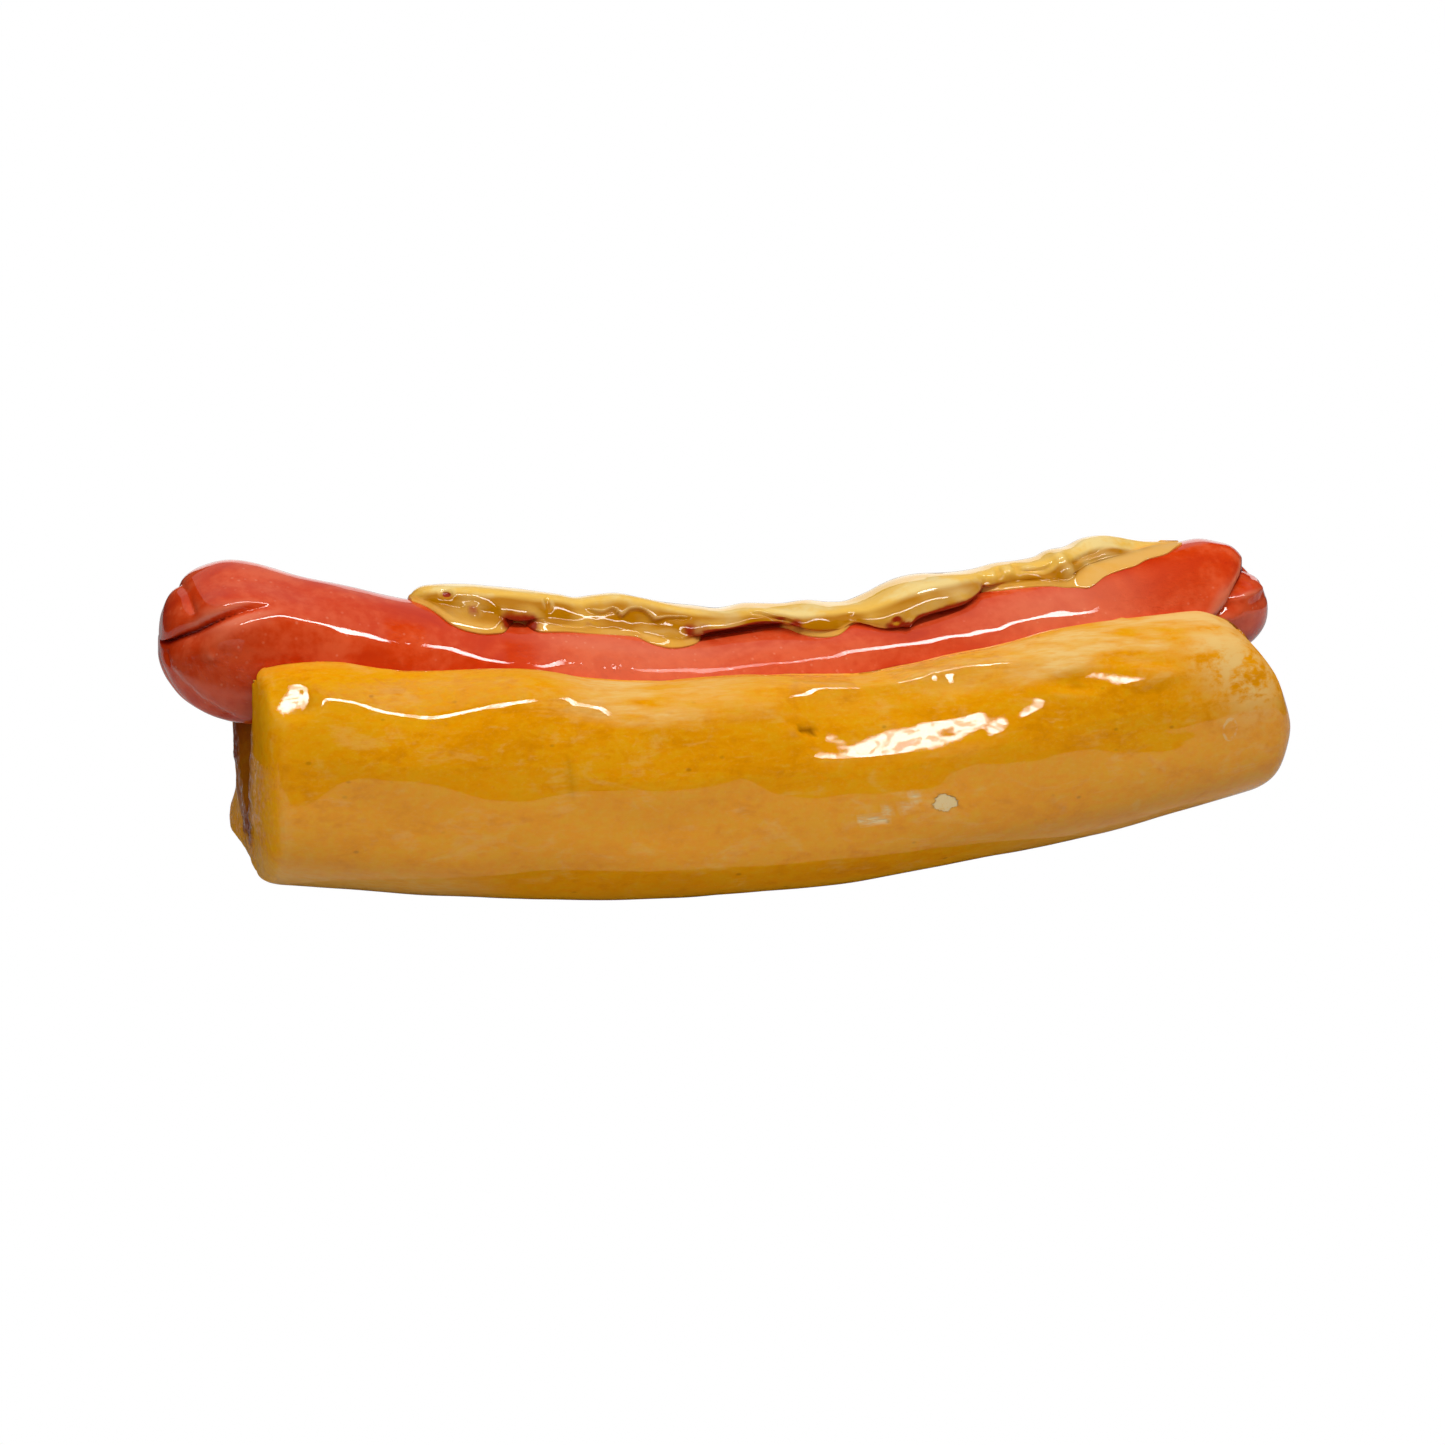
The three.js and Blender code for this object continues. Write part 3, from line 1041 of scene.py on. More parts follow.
@dataclass
class Bun:
    """A slab of clay folded up round the sausage, open at the top and at both ends."""

    line: SausageLine
    left: float = -121.5
    right: float = 134.0
    width: float = 68.0
    squareness: float = 3.1
    rim_thick: float = 5.5
    lip_drop: float = 1.2
    lip_highest: float = 0.96
    rim_inside: float = 1.5
    end_drop: float = 0.6
    left_rounding: float = 3.0
    right_rounding: float = 8.0
    groove_rounding: float = 2.5
    flat_depth: float = 1.3
    least_floor: float = 6.0
    trim_from: float = 0.35
    trim_left: float = 1.0
    trim_right: float = 17.5
    trim_power: float = 1.7
    left_skew: float = 2.2
    cavity_left: Pair = (20.0, 26.0)
    cavity_right: Pair = (8.0, 18.0)
    cavity_power: float = 1.5
    cavity_back: float = 6.5
    cavity_back_over: float = 22.0
    back_side: Ramp = Ramp(-0.35, 0.6)
    groove_gap: float = 0.2
    nose: float = 0.6
    nose_share: float = 0.06
    lip_in: float = 0.4
    lip_puff: float = 0.35
    corner_along: float = 6.5
    corner_across: Course = Course(((0, 6), (12, 8.5), (30, 8), (48, 5), (58, 2), (64, 1)))
    corner_front: Ramp = Ramp(10.0, 9.0)
    rim_share: float = 0.035
    foot_flat: float = 0.5
    foot_round: float = 1.2
    rim: Course = Course((
        (-121, 60.2), (-114, 61.8), (-101, 61.6), (-88, 59.2), (-75, 58.8), (-57, 57.8),
        (-47, 54.9), (-31, 53.4), (-5, 53.6), (20, 52.2), (30, 53.4), (45, 55.6), (56, 56.6),
        (72, 59.6), (94, 61.4), (110, 61.8), (132, 61.8),
    ))
    square: Course = Course(
        ((-140, 0), (-113, 0.7), (-106, 0.8), (-98, 0.1), (-90, -0.2), (-80, 0.2), (-70, 1.2),
         (-58, 2), (-48, 2.8), (-36, 2.4), (0, 2.6), (30, 2.8),
         (50, 2.4), (66, 1.3), (80, 0.5), (134, 0))
    )
    dent_foot: Course = Course(
        ((-6, 36), (3, 34.8), (12, 34.2), (25, 34.2), (38, 35), (46, 36.6), (52, 38.4), (58, 41),
         (64, 43.5), (72, 45))
    )
    dent_probe: tuple[float, float, float] = (-4.0, 68.0, 4.0)
    dent_probe_size: Pair = (3.0, 1.0)
    dent_start: Ramp = Ramp(-1.5, 8.0)
    dent_start_high: Ramp = Ramp(-9.0, 20.0)
    dent_high: Ramp = Ramp(6.5, 3.0)
    dent_end: Ramp = Ramp(60.0, 7.0)
    dent_rim: Ramp = Ramp(-1.5, 1.5)
    smooth_along: Span = Span(-6.0, 8.0, 62.0, 8.0)
    smooth_below: float = 3.5
    smooth_width: float = 5.0
    smooth_rounds: int = 7
    flat_from: float = 18.5
    flat_slope: float = 0.5
    flat_drop: float = 0.6
    flat_share: Course = Course(
        ((-140, 0), (-44, 0), (-36, 0.7), (-8, 0.6), (2, 0), (30, 0), (38, 0.3), (54, 0.3),
         (66, 0), (134, 0))
    )
    dent_tall: Course = Course(((0, 7), (30, 7.6), (50, 6.5), (62, 5)))
    dent_slope: float = 20.5
    dent_upper_slope: float = 30.0
    patches: tuple[Stroke, ...] = (
        ((3, 35.6, 1.2), (9.4, 35, 1.2), (15.8, 36.2, 2.3), (22.1, 37.4, 2.9),
         (28.5, 38.1, 2.8), (35, 39.2, 3), (41.4, 40.5, 2.6), (45.5, 41.4, 1.9)),
        ((5, 40.8, 0.4), (12, 38.4, 0.6)),
        ((49, 39.2, 1.8), (51.4, 40.6, 1.4)),
        ((57, 41.9, 1.1), (61.9, 44.9, 1.4)),
        ((71, 51, 0.2), (78.5, 49.4, 0.6), (84.9, 48.1, 1), (91, 47.3, 0.3)),
        ((-115.4, 52.6, 1.4), (-111.6, 55.8, 1.9)),
    )
    patch_hole: Stroke = ((35.6, 39.0, 0.5), (38.6, 39.3, 0.9))
    patch_blur: float = 3.0
    lines: tuple[Stroke, ...] = (
        ((-108.6, 54, 3), (-92, 51.5, 5), (-80, 51.5, 5), (-65, 52, 4.5)),
        ((-51.5, 49, 3.5), (-46.5, 48, 3.5)),
        ((4, 50.4, 3.4), (14, 49.6, 3.4)),
        ((29, 51.2, 2.6), (40, 52.4, 2.8), (53, 53, 2.6)),
    )
    line_blur: float = 6.0
    faces_up: Ramp = Ramp(25.0, 5.0)
    faces_left: Ramp = Ramp(0.4, 0.25)
    dull_from: Ramp = Ramp(-22.0, 3.0)
    least_dull: float = 0.12
    dull_end: float = 0.5
    pale_band: Course = Course(
        ((-140, 0), (-60, 0), (-46, 0.7), (-38, 1.3), (-22, 0.6), (0, 0.15), (30, 0.1),
         (50, 0.5), (75, 1.15), (118, 1.15), (128, 0.5), (134, 0.3))
    )
    flat_spots: tuple[FlatSpot, ...] = (
        FlatSpot((-113.4, -27.0, 54.4), 32.4, -7.5, 4.2, 4.2),
        FlatSpot((80.5, -32.5, 48.8), 20.2, -1.8, 14.0, 2.4),
    )
    inner_side: Ramp = Ramp(0.3, 0.5)
    front_side: Ramp = Ramp(12.0, 8.0)
    waves: tuple[Lumps, ...] = (Lumps((46, 30, 20), 3.7, 0.6), Lumps((15, 11, 9), 9.1, 0.12))
    wave_in: float = 0.35
    shoulder: Pair = (52.0, 24.0)
    end_squash: Point = (0.5, 0.8, 1.0)
    end_marks: tuple[Mark, ...] = (
        Mark(((-121, 30, 13),), 7.5, -2.3),
        Mark(((-121, 30, 23.5),), 3.5, 1.4),
    )
    rim_along: Span = Span(-44.0, 8.0, 64.0, 10.0)
    rim_below: float = 7.0
    rim_width: float = 5.0
    rim_lumps: Lumps = Lumps((10, 6, 6), 7.7, 0.24)
    marks: tuple[Mark, ...] = (
        Mark(((-52, -34, 51), (-42, -34, 50)), 6, -0.8),
        Mark(((36.3, -27.5, 51.3),), 1.5, 0.9),
        Mark(((41, -31, 49.6),), 2.6, -0.7),
        Mark(((50, -31, 51.5),), 4, 0.4),
        Mark(((76, -26, 58), (90, -26, 60)), 2, 0.4),
        Mark(((89.7, -15.8, 60.6),), 1.2, 1),
        Mark(((-89.9, -16.6, 59.6),), 1.5, 1.1),
    )
    gash: Stroke = ((1.4, 42.4, 0.2), (4.6, 41.6, 0.4))
    gash_depth: float = 0.9
    gash_width: float = 0.8
    # How far the painted shade in the gash reaches.
    gash_shade: Ramp = Ramp(0.0, 0.7)
    seam: Stroke = ((-53.6, 38.5, 0.2), (-53.0, 31.5, 0.4))
    seam_pool: Ramp = Ramp(0.0, 1.2)
    end_lumps: Lumps = Lumps((5, 6, 5), 2.9, 0.35)
    end_lumpy: Ramp = Ramp(-7.0, 5.0)
    brush_marks: Lumps = Lumps((16, 6, 3), 4.4, octaves=3)
    ridge_thin: Ramp = Ramp(0.07, 0.15)
    rim_thin: Ramp = Ramp(-3.2, 3.0)
    band_thin: Ramp = Ramp(-9.5, 3.0)
    # Painted reflection of the table near the bottom: how high it reaches, and how it grows
    # towards the left and right ends.
    reflection_below: Ramp = Ramp(3.0, 9.0)
    reflection_left: Ramp = Ramp(62.0, 20.0)
    reflection_right: Ramp = Ramp(40.0, 30.0)
    # How high the painted light at the very foot reaches.
    foot_painted_light: Ramp = Ramp(1.0, 5.0)
    hollow_pool: Ramp = Ramp(0.02, 0.1)
    dent_along: Span = Span(-5.0, 3.0, 68.0, 5.0)
    dent_above: Ramp = Ramp(30.0, 2.0)
    # Where the painted shade inside the open ends reaches.
    open_left: Ramp = Ramp(100.0, 6.0)
    open_right: Ramp = Ramp(108.0, 6.0)
    worn: Mark = Mark(((112.0, -30.0, 53.0), (119.0, -30.0, 46.0)), 9.0, 1.0)
    scar: Stroke = ((16, -38, 19.6), (20, -38, 20.2), (24, -38, 22.2), (31, -38, 25.2))
    scar_edge: Ramp = Ramp(0.6, 1.1)
    scar_lumps: Lumps = Lumps((2.2, 2.2, 1.6), 5.5)
    scar_ragged: Ramp = Ramp(-0.4, 0.7)
    outer_stops: Rows = (
        (0, 3.2), (0.03, 2.6), (0.1, 1.25), (0.34, 1.1), (0.5, 0.6), (0.66, 0.8), (0.9, 1.1),
        (0.97, 2.4), (1, 3),
    )
    inner_stops: Rows = ((0, 2.6), (0.06, 1.4), (0.2, 0.8), (0.8, 0.8), (0.94, 1.4), (1, 2.6))
    face_shares: tuple[float, ...] = (0.3, 0.7, 1.0)
    face_puff: float = 0.5
    half_around: int = 38
    straight_steps: int = 62
    left_steps: int = 5
    right_steps: int = 7

    def _outside(self, x: Array, u: Array, inset: float) -> Array:
        """Finds points of the outside, which runs from the front lip, under, to the back lip.

        Args:
            x: Places along X.
            u: Shares of the way from the front lip to the back lip.
            inset: How far they lie in from the outside.

        Returns:
            The points, one a row.
        """
        top = self.rim.at(x) - inset * self.end_drop
        foot = self.line.bend.foot(x) - self.flat_depth + inset
        half = self.width / 2.0 - inset
        power = 2.0 / self.squareness
        wider = min(inset, self.groove_rounding)
        crest = self.line.radius(x) + wider + self.rim_thick / 2.0
        rim_y = np.minimum(half - self.rim_inside, crest)
        rim_angle = np.arccos((rim_y / half) ** (1.0 / power))
        t = np.clip((u - self.rim_share) / (1.0 - 2.0 * self.rim_share), 0.0, 1.0)
        a = -rim_angle + t * (np.pi + 2.0 * rim_angle)
        c, s = np.cos(a), np.sin(a)
        y = self.line.bend.middle(x) - half * np.sign(c) * np.abs(c) ** power
        z = (top + foot) / 2.0 - (top - foot) / 2.0 * np.sign(s) * np.abs(s) ** power
        outer = np.stack([x, y, z], axis=-1)
        over = np.clip(1.0 - np.minimum(u, 1.0 - u) / self.rim_share, 0.0, 1.0)
        side = np.where(u < 0.5, -1.0, 1.0)
        clasp = self._clasp(x, inset) - self.lip_in
        lip = self.line.beside(x, side * self._lip_angle(x, inset), clasp)
        point = outer + (lip - outer) * over[:, None]
        point[:, 2] += self.lip_puff * np.sin(np.pi * over)
        return point

    def _clasp(self, x: Array, inset: float) -> Array:
        """Distance of the groove from the sausage's axis at x."""
        return self.line.radius(x) + self.groove_gap + min(inset, self.groove_rounding)

    def _lip_angle(self, x: Array, inset: float) -> Array:
        """Finds the angle of the lips round the sausage's axis.

        Args:
            x: Places along X.
            inset: How far the lips are drawn in.

        Returns:
            The angle from straight up, in radians.
        """
        top = self.rim.at(x) - inset * self.end_drop
        height = top - self.lip_drop - self.line.height(x)
        share = height / self._clasp(x, inset) / self.line.tallness(x)
        return np.arccos(np.minimum(self.lip_highest, share))

    def _groove(self, x: Array, v: Array, inset: float) -> Array:
        """Finds points of the groove, which runs from the back lip, under, to the front lip.

        Args:
            x: Places along X.
            v: Shares of the way from the back lip to the front lip.
            inset: How far the groove is drawn in.

        Returns:
            The points, one a row.
        """
        lip = self._lip_angle(x, inset)
        angle = lip + v * (2.0 * np.pi - 2.0 * lip)
        near_lip = np.clip(np.minimum(v, 1.0 - v) / self.nose_share, 0.0, 1.0)
        nose = self.nose * (1.0 - near_lip)
        point = self.line.beside(x, angle, self._clasp(x, inset) - nose)
        drop = self.cavity_left[0] * (1.0 - ease((x - self.left) / self.cavity_left[1]))
        drop += self.cavity_right[0] * (1.0 - ease((self.right - x) / self.cavity_right[1]))
        lowest = self.line.bend.foot(x) + self.least_floor + inset
        point[:, 2] -= drop * np.maximum(0.0, -np.cos(angle)) ** self.cavity_power
        point[:, 2] = np.maximum(point[:, 2], lowest)
        behind = np.maximum(0.0, np.sin(angle)) * self.back_side.up(-np.cos(angle))
        point[:, 1] += (
            self.cavity_back * behind * (1.0 - ease((x - self.left) / self.cavity_back_over))
        )
        return point

    def _ring(self, along: float, inset: float) -> Array:
        """Finds one ring of the bun, slanted with the two ends.

        Args:
            along: Where it lies, in shares of the bun's length.
            inset: How far it is drawn in.

        Returns:
            The ring.
        """
        level = self.left + (self.right - self.left) * along
        foot = self.line.bend.foot(np.array(level))
        rows = []
        for path, stops in ((self._outside, self.outer_stops), (self._groove, self.inner_stops)):
            steps = spread(stops, self.half_around)
            here = path(np.full(len(steps), level), steps, inset)
            height = (here[:, 2] - foot) / (self.rim.at(np.array(level)) - foot)
            high = np.clip((height - self.trim_from) / (1.0 - self.trim_from), 0.0, 1.0)
            slant = high**self.trim_power
            start = self.left + self.trim_left * slant
            start = start + self.left_skew * ease(here[:, 1] / self.width + 0.5)
            end = self.right - self.trim_right * slant
            rows.append(path(start + (end - start) * along, steps, inset))
        ring = np.concatenate([rows[0][:-1], rows[1][:-1]])
        ring[:, 2] = np.maximum(ring[:, 2], 0.0)
        return ring

    def _rings(self) -> list[Array]:
        """All rings from the left end to the right, with both end faces closed.

        Returns:
            The rings.
        """
        length = self.right - self.left
        stations = []
        for k in range(self.left_steps):
            a = math.pi / 2.0 * (1.0 - k / self.left_steps)
            stations.append(
                (self.left_rounding * (1 - math.sin(a)), self.left_rounding * (1 - math.cos(a)))
            )
        first, last = self.left_rounding, length - self.right_rounding
        for step in np.linspace(first, last, self.straight_steps + 1):
            stations.append((float(step), 0.0))
        for k in range(1, self.right_steps + 1):
            a = math.pi / 2.0 * k / self.right_steps
            stations.append(
                (
                    length - self.right_rounding * (1 - math.sin(a)),
                    self.right_rounding * (1 - math.cos(a)),
                )
            )
        rings = [self._ring(at / length, inset) for at, inset in stations]
        return [*self._face(rings[0], -1)[::-1], *rings, *self._face(rings[-1], 1)]

    def _face(self, ring: Array, side: int) -> list[Array]:
        """Finds the rings that close an end, drawn in to the middle of the slab's thickness.

        Args:
            ring: The last ring at that end.
            side: -1 for the left end, 1 for the right.

        Returns:
            The rings, the closest one last.
        """
        opposite = np.roll(ring[::-1], 1, axis=0)
        middle = (ring + opposite) / 2.0
        rings = []
        for share in self.face_shares:
            closer = ring + (middle - ring) * share
            closer[:, 0] += side * self.face_puff * math.sin(share * math.pi / 2.0)
            rings.append(closer)
        return rings

    def _chamfer(self, x: Array, y: Array, z: Array) -> Array:
        """Finds how far points are pressed down where the front shoulder was patted flat.

        Args:
            x: Places along X.
            y: Places across, from the line that the bun follows.
            z: Heights.

        Returns:
            How far each point moves down.
        """
        fall = np.maximum(0.0, -y - self.flat_from) * self.flat_slope
        over = np.maximum(0.0, z - (self.rim.at(x) - self.flat_drop - fall))
        return over * self.flat_share.at(x) * (y < 0)

    def _dent(self, clay: Clay, front: Array) -> None:
        """Presses a long flat dent into the front wall, and smooths the rim above it.

        Args:
            clay: The bun's points.
            front: How much each point belongs to the front.
        """
        x, y, z = clay.points.T
        places = np.arange(*self.dent_probe)
        long, tall = self.dent_probe_size
        at_foot = []
        for place in places:
            close = (np.abs(x - place) < long) & (np.abs(z - self.dent_foot.at(place)) < tall)
            at_foot.append(float(y[close & (front > 0.9)].mean()))
        level = np.polyval(np.polyfit(places, at_foot, 3), x)
        up = z - self.dent_foot.at(x)
        lower = np.clip(up, 0.0, self.dent_tall.at(x))
        flat = level + lower * math.tan(math.radians(self.dent_slope))
        upper = np.maximum(0.0, up - lower)
        flat = flat + upper * math.tan(math.radians(self.dent_upper_slope))
        start = self.dent_start.up(x)
        start += (self.dent_start_high.up(x) - start) * self.dent_high.up(up)
        share = start * self.dent_end.down(x) * front * self.dent_rim.up(up)
        clay.points[:, 1] += np.maximum(0.0, flat - y) * share
        edge = bell(z - self.rim.at(x) + self.smooth_below, self.smooth_width)
        edge = edge * self.smooth_along.at(x) * front
        smooth = clay.average(clay.points, self.smooth_rounds) - clay.points
        clay.points += smooth * edge[:, None]
        clay.write()

    def _shine(self, clay: Clay, front: Array) -> None:
        """Marks where the front's upper half is dull, between the spots that shine.

        Args:
            clay: The bun's points.
            front: How much each point belongs to the front.
        """
        patches = np.min([clay.stroke(path) for path in self.patches], axis=0)
        patches = np.maximum(patches, -clay.stroke(self.patch_hole))
        lines = np.min([clay.stroke(path) for path in self.lines], axis=0)
        rise = np.degrees(np.arcsin(clay.normals[:, 2]))
        shiny = np.clip(0.5 - lines / self.line_blur, 0.0, 1.0) * self.faces_up.up(rise)
        shiny = np.maximum(np.clip(0.5 - patches / self.patch_blur, 0.0, 1.0), shiny)
        x, _, z = clay.points.T
        dull = np.maximum(1.0 - shiny, self.least_dull)
        dull = dull * self.dull_from.up(z - self.rim.at(x)) * front
        left_end = self.faces_left.up(-clay.normals[:, 0]) * (x < 0.0)
        clay.paint("dry", np.maximum(dull, self.dull_end * left_end))

    def _work(self, clay: Clay) -> None:
        """Presses thumb marks, dents and nicks into the slab, and marks how its glaze lies.

        Args:
            clay: The bun's points.
        """
        x, y, z = clay.points.T
        middle, foot = self.line.bend.middle(x), self.line.bend.foot(x)
        outside = self.inner_side.down(clay.read("inner"))
        front = outside * self.front_side.up(middle - y)
        clay.points[:, 2] -= self._chamfer(x, y - middle, z) * outside
        clay.write()
        clay.push((sum(clay.rough(lumps) for lumps in self.waves) - self.wave_in) * outside)
        rise = np.degrees(np.arcsin(clay.normals[:, 2]))
        clay.push(self.square.at(x) * bell(rise - self.shoulder[0], self.shoulder[1]) * front)
        turn = np.clip((self.left + self.corner_along - x) / self.corner_along, 0.0, 1.0)
        turn = 1.0 - np.sqrt(1.0 - turn**2)
        clay.points[:, 1] += self.corner_across.at(z) * turn * self.corner_front.up(middle - y)
        for mark in self.end_marks:
            away = clay.near(mark.path, self.end_squash)
            clay.points[:, 0] += mark.depth * bell(away, mark.width)
        self._dent(clay, front)
        lumpy = self.rim_along.at(x) * bell(z - self.rim.at(x) + self.rim_below, self.rim_width)
        clay.push(clay.rough(self.rim_lumps) * lumpy * front)
        for spot in self.flat_spots:
            clay.press(spot)
        self._shine(clay, front)
        for mark in self.marks:
            clay.push(mark.depth * bell(clay.near(mark.path), mark.width) * front)
        gash = clay.stroke(self.gash)
        cut = np.exp(-np.maximum(0.0, gash) / self.gash_width)
        clay.push(-self.gash_depth * cut * front)
        lumpy = clay.rough(self.end_lumps) * self.end_lumpy.up(self.left - x)
        clay.push(lumpy * (1.0 - 0.6 * front))
        settled = (z - self.foot_flat) * self.foot_round / (self.foot_round - self.foot_flat)
        clay.points[:, 2] = np.where(z < self.foot_round, np.maximum(0.0, settled), z)
        self._glaze(clay, front, outside, foot, gash)

    def _glaze(self, clay: Clay, front: Array, outside: Array, foot: Array, gash: Array) -> None:
        """Marks where the glaze lies thin, where it has run together and where it is worn, and
        where light, shade and reflection are painted.

        Args:
            clay: The bun's points.
            front: How much each point belongs to the front.
            outside: How much each point belongs to the outside.
            foot: Height of the bun's underside at each point.
            gash: Distance of each point from the gash.
        """
        x, _, z = clay.points.T
        crest, below_rim, up = clay.crest(), z - self.rim.at(x), z - foot
        band = self.pale_band.at(x) * self.band_thin.up(below_rim) * front
        brushed = np.maximum(0.0, clay.rough(self.brush_marks) + 0.45)
        # Painted reflection of the table: paler towards the bottom, most at the left end.
        foot_reflection = self.reflection_below.down(up) * front
        foot_reflection *= self.reflection_left.up(-x) + 0.5 * self.reflection_right.up(x)
        thin = 0.5 * self.ridge_thin.up(crest) + 0.25 * self.rim_thin.up(below_rim) * outside
        clay.paint("thin", thin + 0.6 * foot_reflection + band * np.minimum(1.0, 1.1 * brushed))
        dented = self.dent_along.at(x) * self.dent_above.up(z)
        pooled_and_shade = 0.6 * self.hollow_pool.up(-crest) * (1.0 - dented * front)
        pooled_and_shade += 0.25 * self.seam_pool.down(clay.stroke(self.seam)) * front
        # Painted shade in the gash, added to where glaze ran together.
        clay.paint("pooled_and_shade", pooled_and_shade + self.gash_shade.down(gash) * front)
        # Painted light: paler amber at the very foot, where the bottom lies in shade, less where
        # the painted reflection lies.
        clay.paint("foot", 0.9 * self.foot_painted_light.down(up) * outside * (1.0 - foot_reflection))
        open_end = self.open_left.up(-x) + self.open_right.up(x)
        # Painted shade: dark red-brown inside the open ends.
        clay.paint("inside", clay.average((1.0 - outside) * open_end, 6))
        clay.paint("worn", bell(clay.near(self.worn.path), self.worn.width) * front)
        scraped = self.scar_edge.down(clay.near(self.scar))
        scraped = scraped * self.scar_ragged.up(clay.rough(self.scar_lumps))
        clay.paint("scraped", scraped * front)

    def build(self) -> Piece:
        """Models and glazes the bun.

        Returns:
            The piece.
        """
        piece = Skin("bun_clay", self._rings(), 2, self.half_around).build()
        clay = Clay(piece)
        self._work(clay)
        clay.keep_inside(*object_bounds())
        dress(piece, BunGlaze().material(), "bun")
        return piece


# ---- Sausage --------------------------------------------------------------------------------


@dataclass(frozen=True)
class Slit:
    """A cut that runs in from an end of the sausage, where the skin has burst open.

    Attributes:
        course: Places along X from the tip, each with the cut's angle in degrees from the top
            towards the front.
        depth: How deep it is at the tip.
        gape: How wide it opens above and below.
        valley: Depth and width of the wide hollow that the cut lies in.
        lobe: How far the lip above the cut swells out.
        lip: How far the lip below it does.
        fades: How fast the cut, the lip and the lobe fade in from the cut's root.
        lobe_lies: How far above the cut the lobe lies, and its width.
        lip_lies: How far below the cut the lip lies, and its width.
        least_radius: Nearer to the axis than this, the cut is no narrower.
    """

    course: Rows
    depth: float
    gape: Pair = (0.8, 1.6)
    valley: Pair = (1.4, 7.0)
    lobe: float = 0.6
    lip: float = 0.5
    fades: tuple[float, float, float] = (0.55, 0.5, 1.4)
    lobe_lies: Pair = (3.6, 3.2)
    lip_lies: Pair = (4.2, 3.0)
    least_radius: float = 3.0

    def open(self, x: Array, angle: Array, radius: Array) -> tuple[Array, Array]:
        """Finds how the cut moves the skin.

        Args:
            x: Places along X.
            angle: Their angles in degrees from the top towards the front.
            radius: Their distances from the axis.

        Returns:
            How deep in the cut each point lies, from 0 to 1, and how far it moves out.
        """
        tip, root = self.course[0][0], self.course[-1][0]
        away = (angle - Course(tuple(sorted(self.course))).at(x) + 180.0) % 360.0 - 180.0
        away = np.radians(away) * np.maximum(radius, self.least_radius)
        fade = 1.0 - ease(np.clip((x - tip) / (root - tip), -1.0, 2.0))
        fade = np.where(np.sign(x) == np.sign(tip), fade, 0.0)
        cut_fade, lip_fade, lobe_fade = (fade**power for power in self.fades)
        cut = cut_fade * np.exp(-np.abs(away) / np.where(away < 0, *self.gape))
        moved = -self.depth * cut - self.valley[0] * fade * bell(away, self.valley[1])
        moved += self.lip * lip_fade * bell(away - self.lip_lies[0], self.lip_lies[1])
        moved += self.lobe * lobe_fade * bell(away + self.lobe_lies[0], self.lobe_lies[1])
        return cut, moved


@dataclass(frozen=True)
class Sag:
    """A long place on the sausage's side that has sagged, or was pressed flat.

    Attributes:
        centre: Its angle in degrees from the top towards the front.
        width: How many degrees away it is still felt.
        depth: How far it moves the skin.
        first: Where it begins along X.
        last: Where it ends.
        fade: Over how much it fades at both ends.
    """

    centre: float
    width: float
    depth: float
    first: float
    last: float
    fade: float = 10.0

    def along(self, x: Array) -> Array:
        """How much of it there is at x, from 0 to 1."""
        return Span(self.first, self.fade, self.last - self.fade, self.fade).at(x)


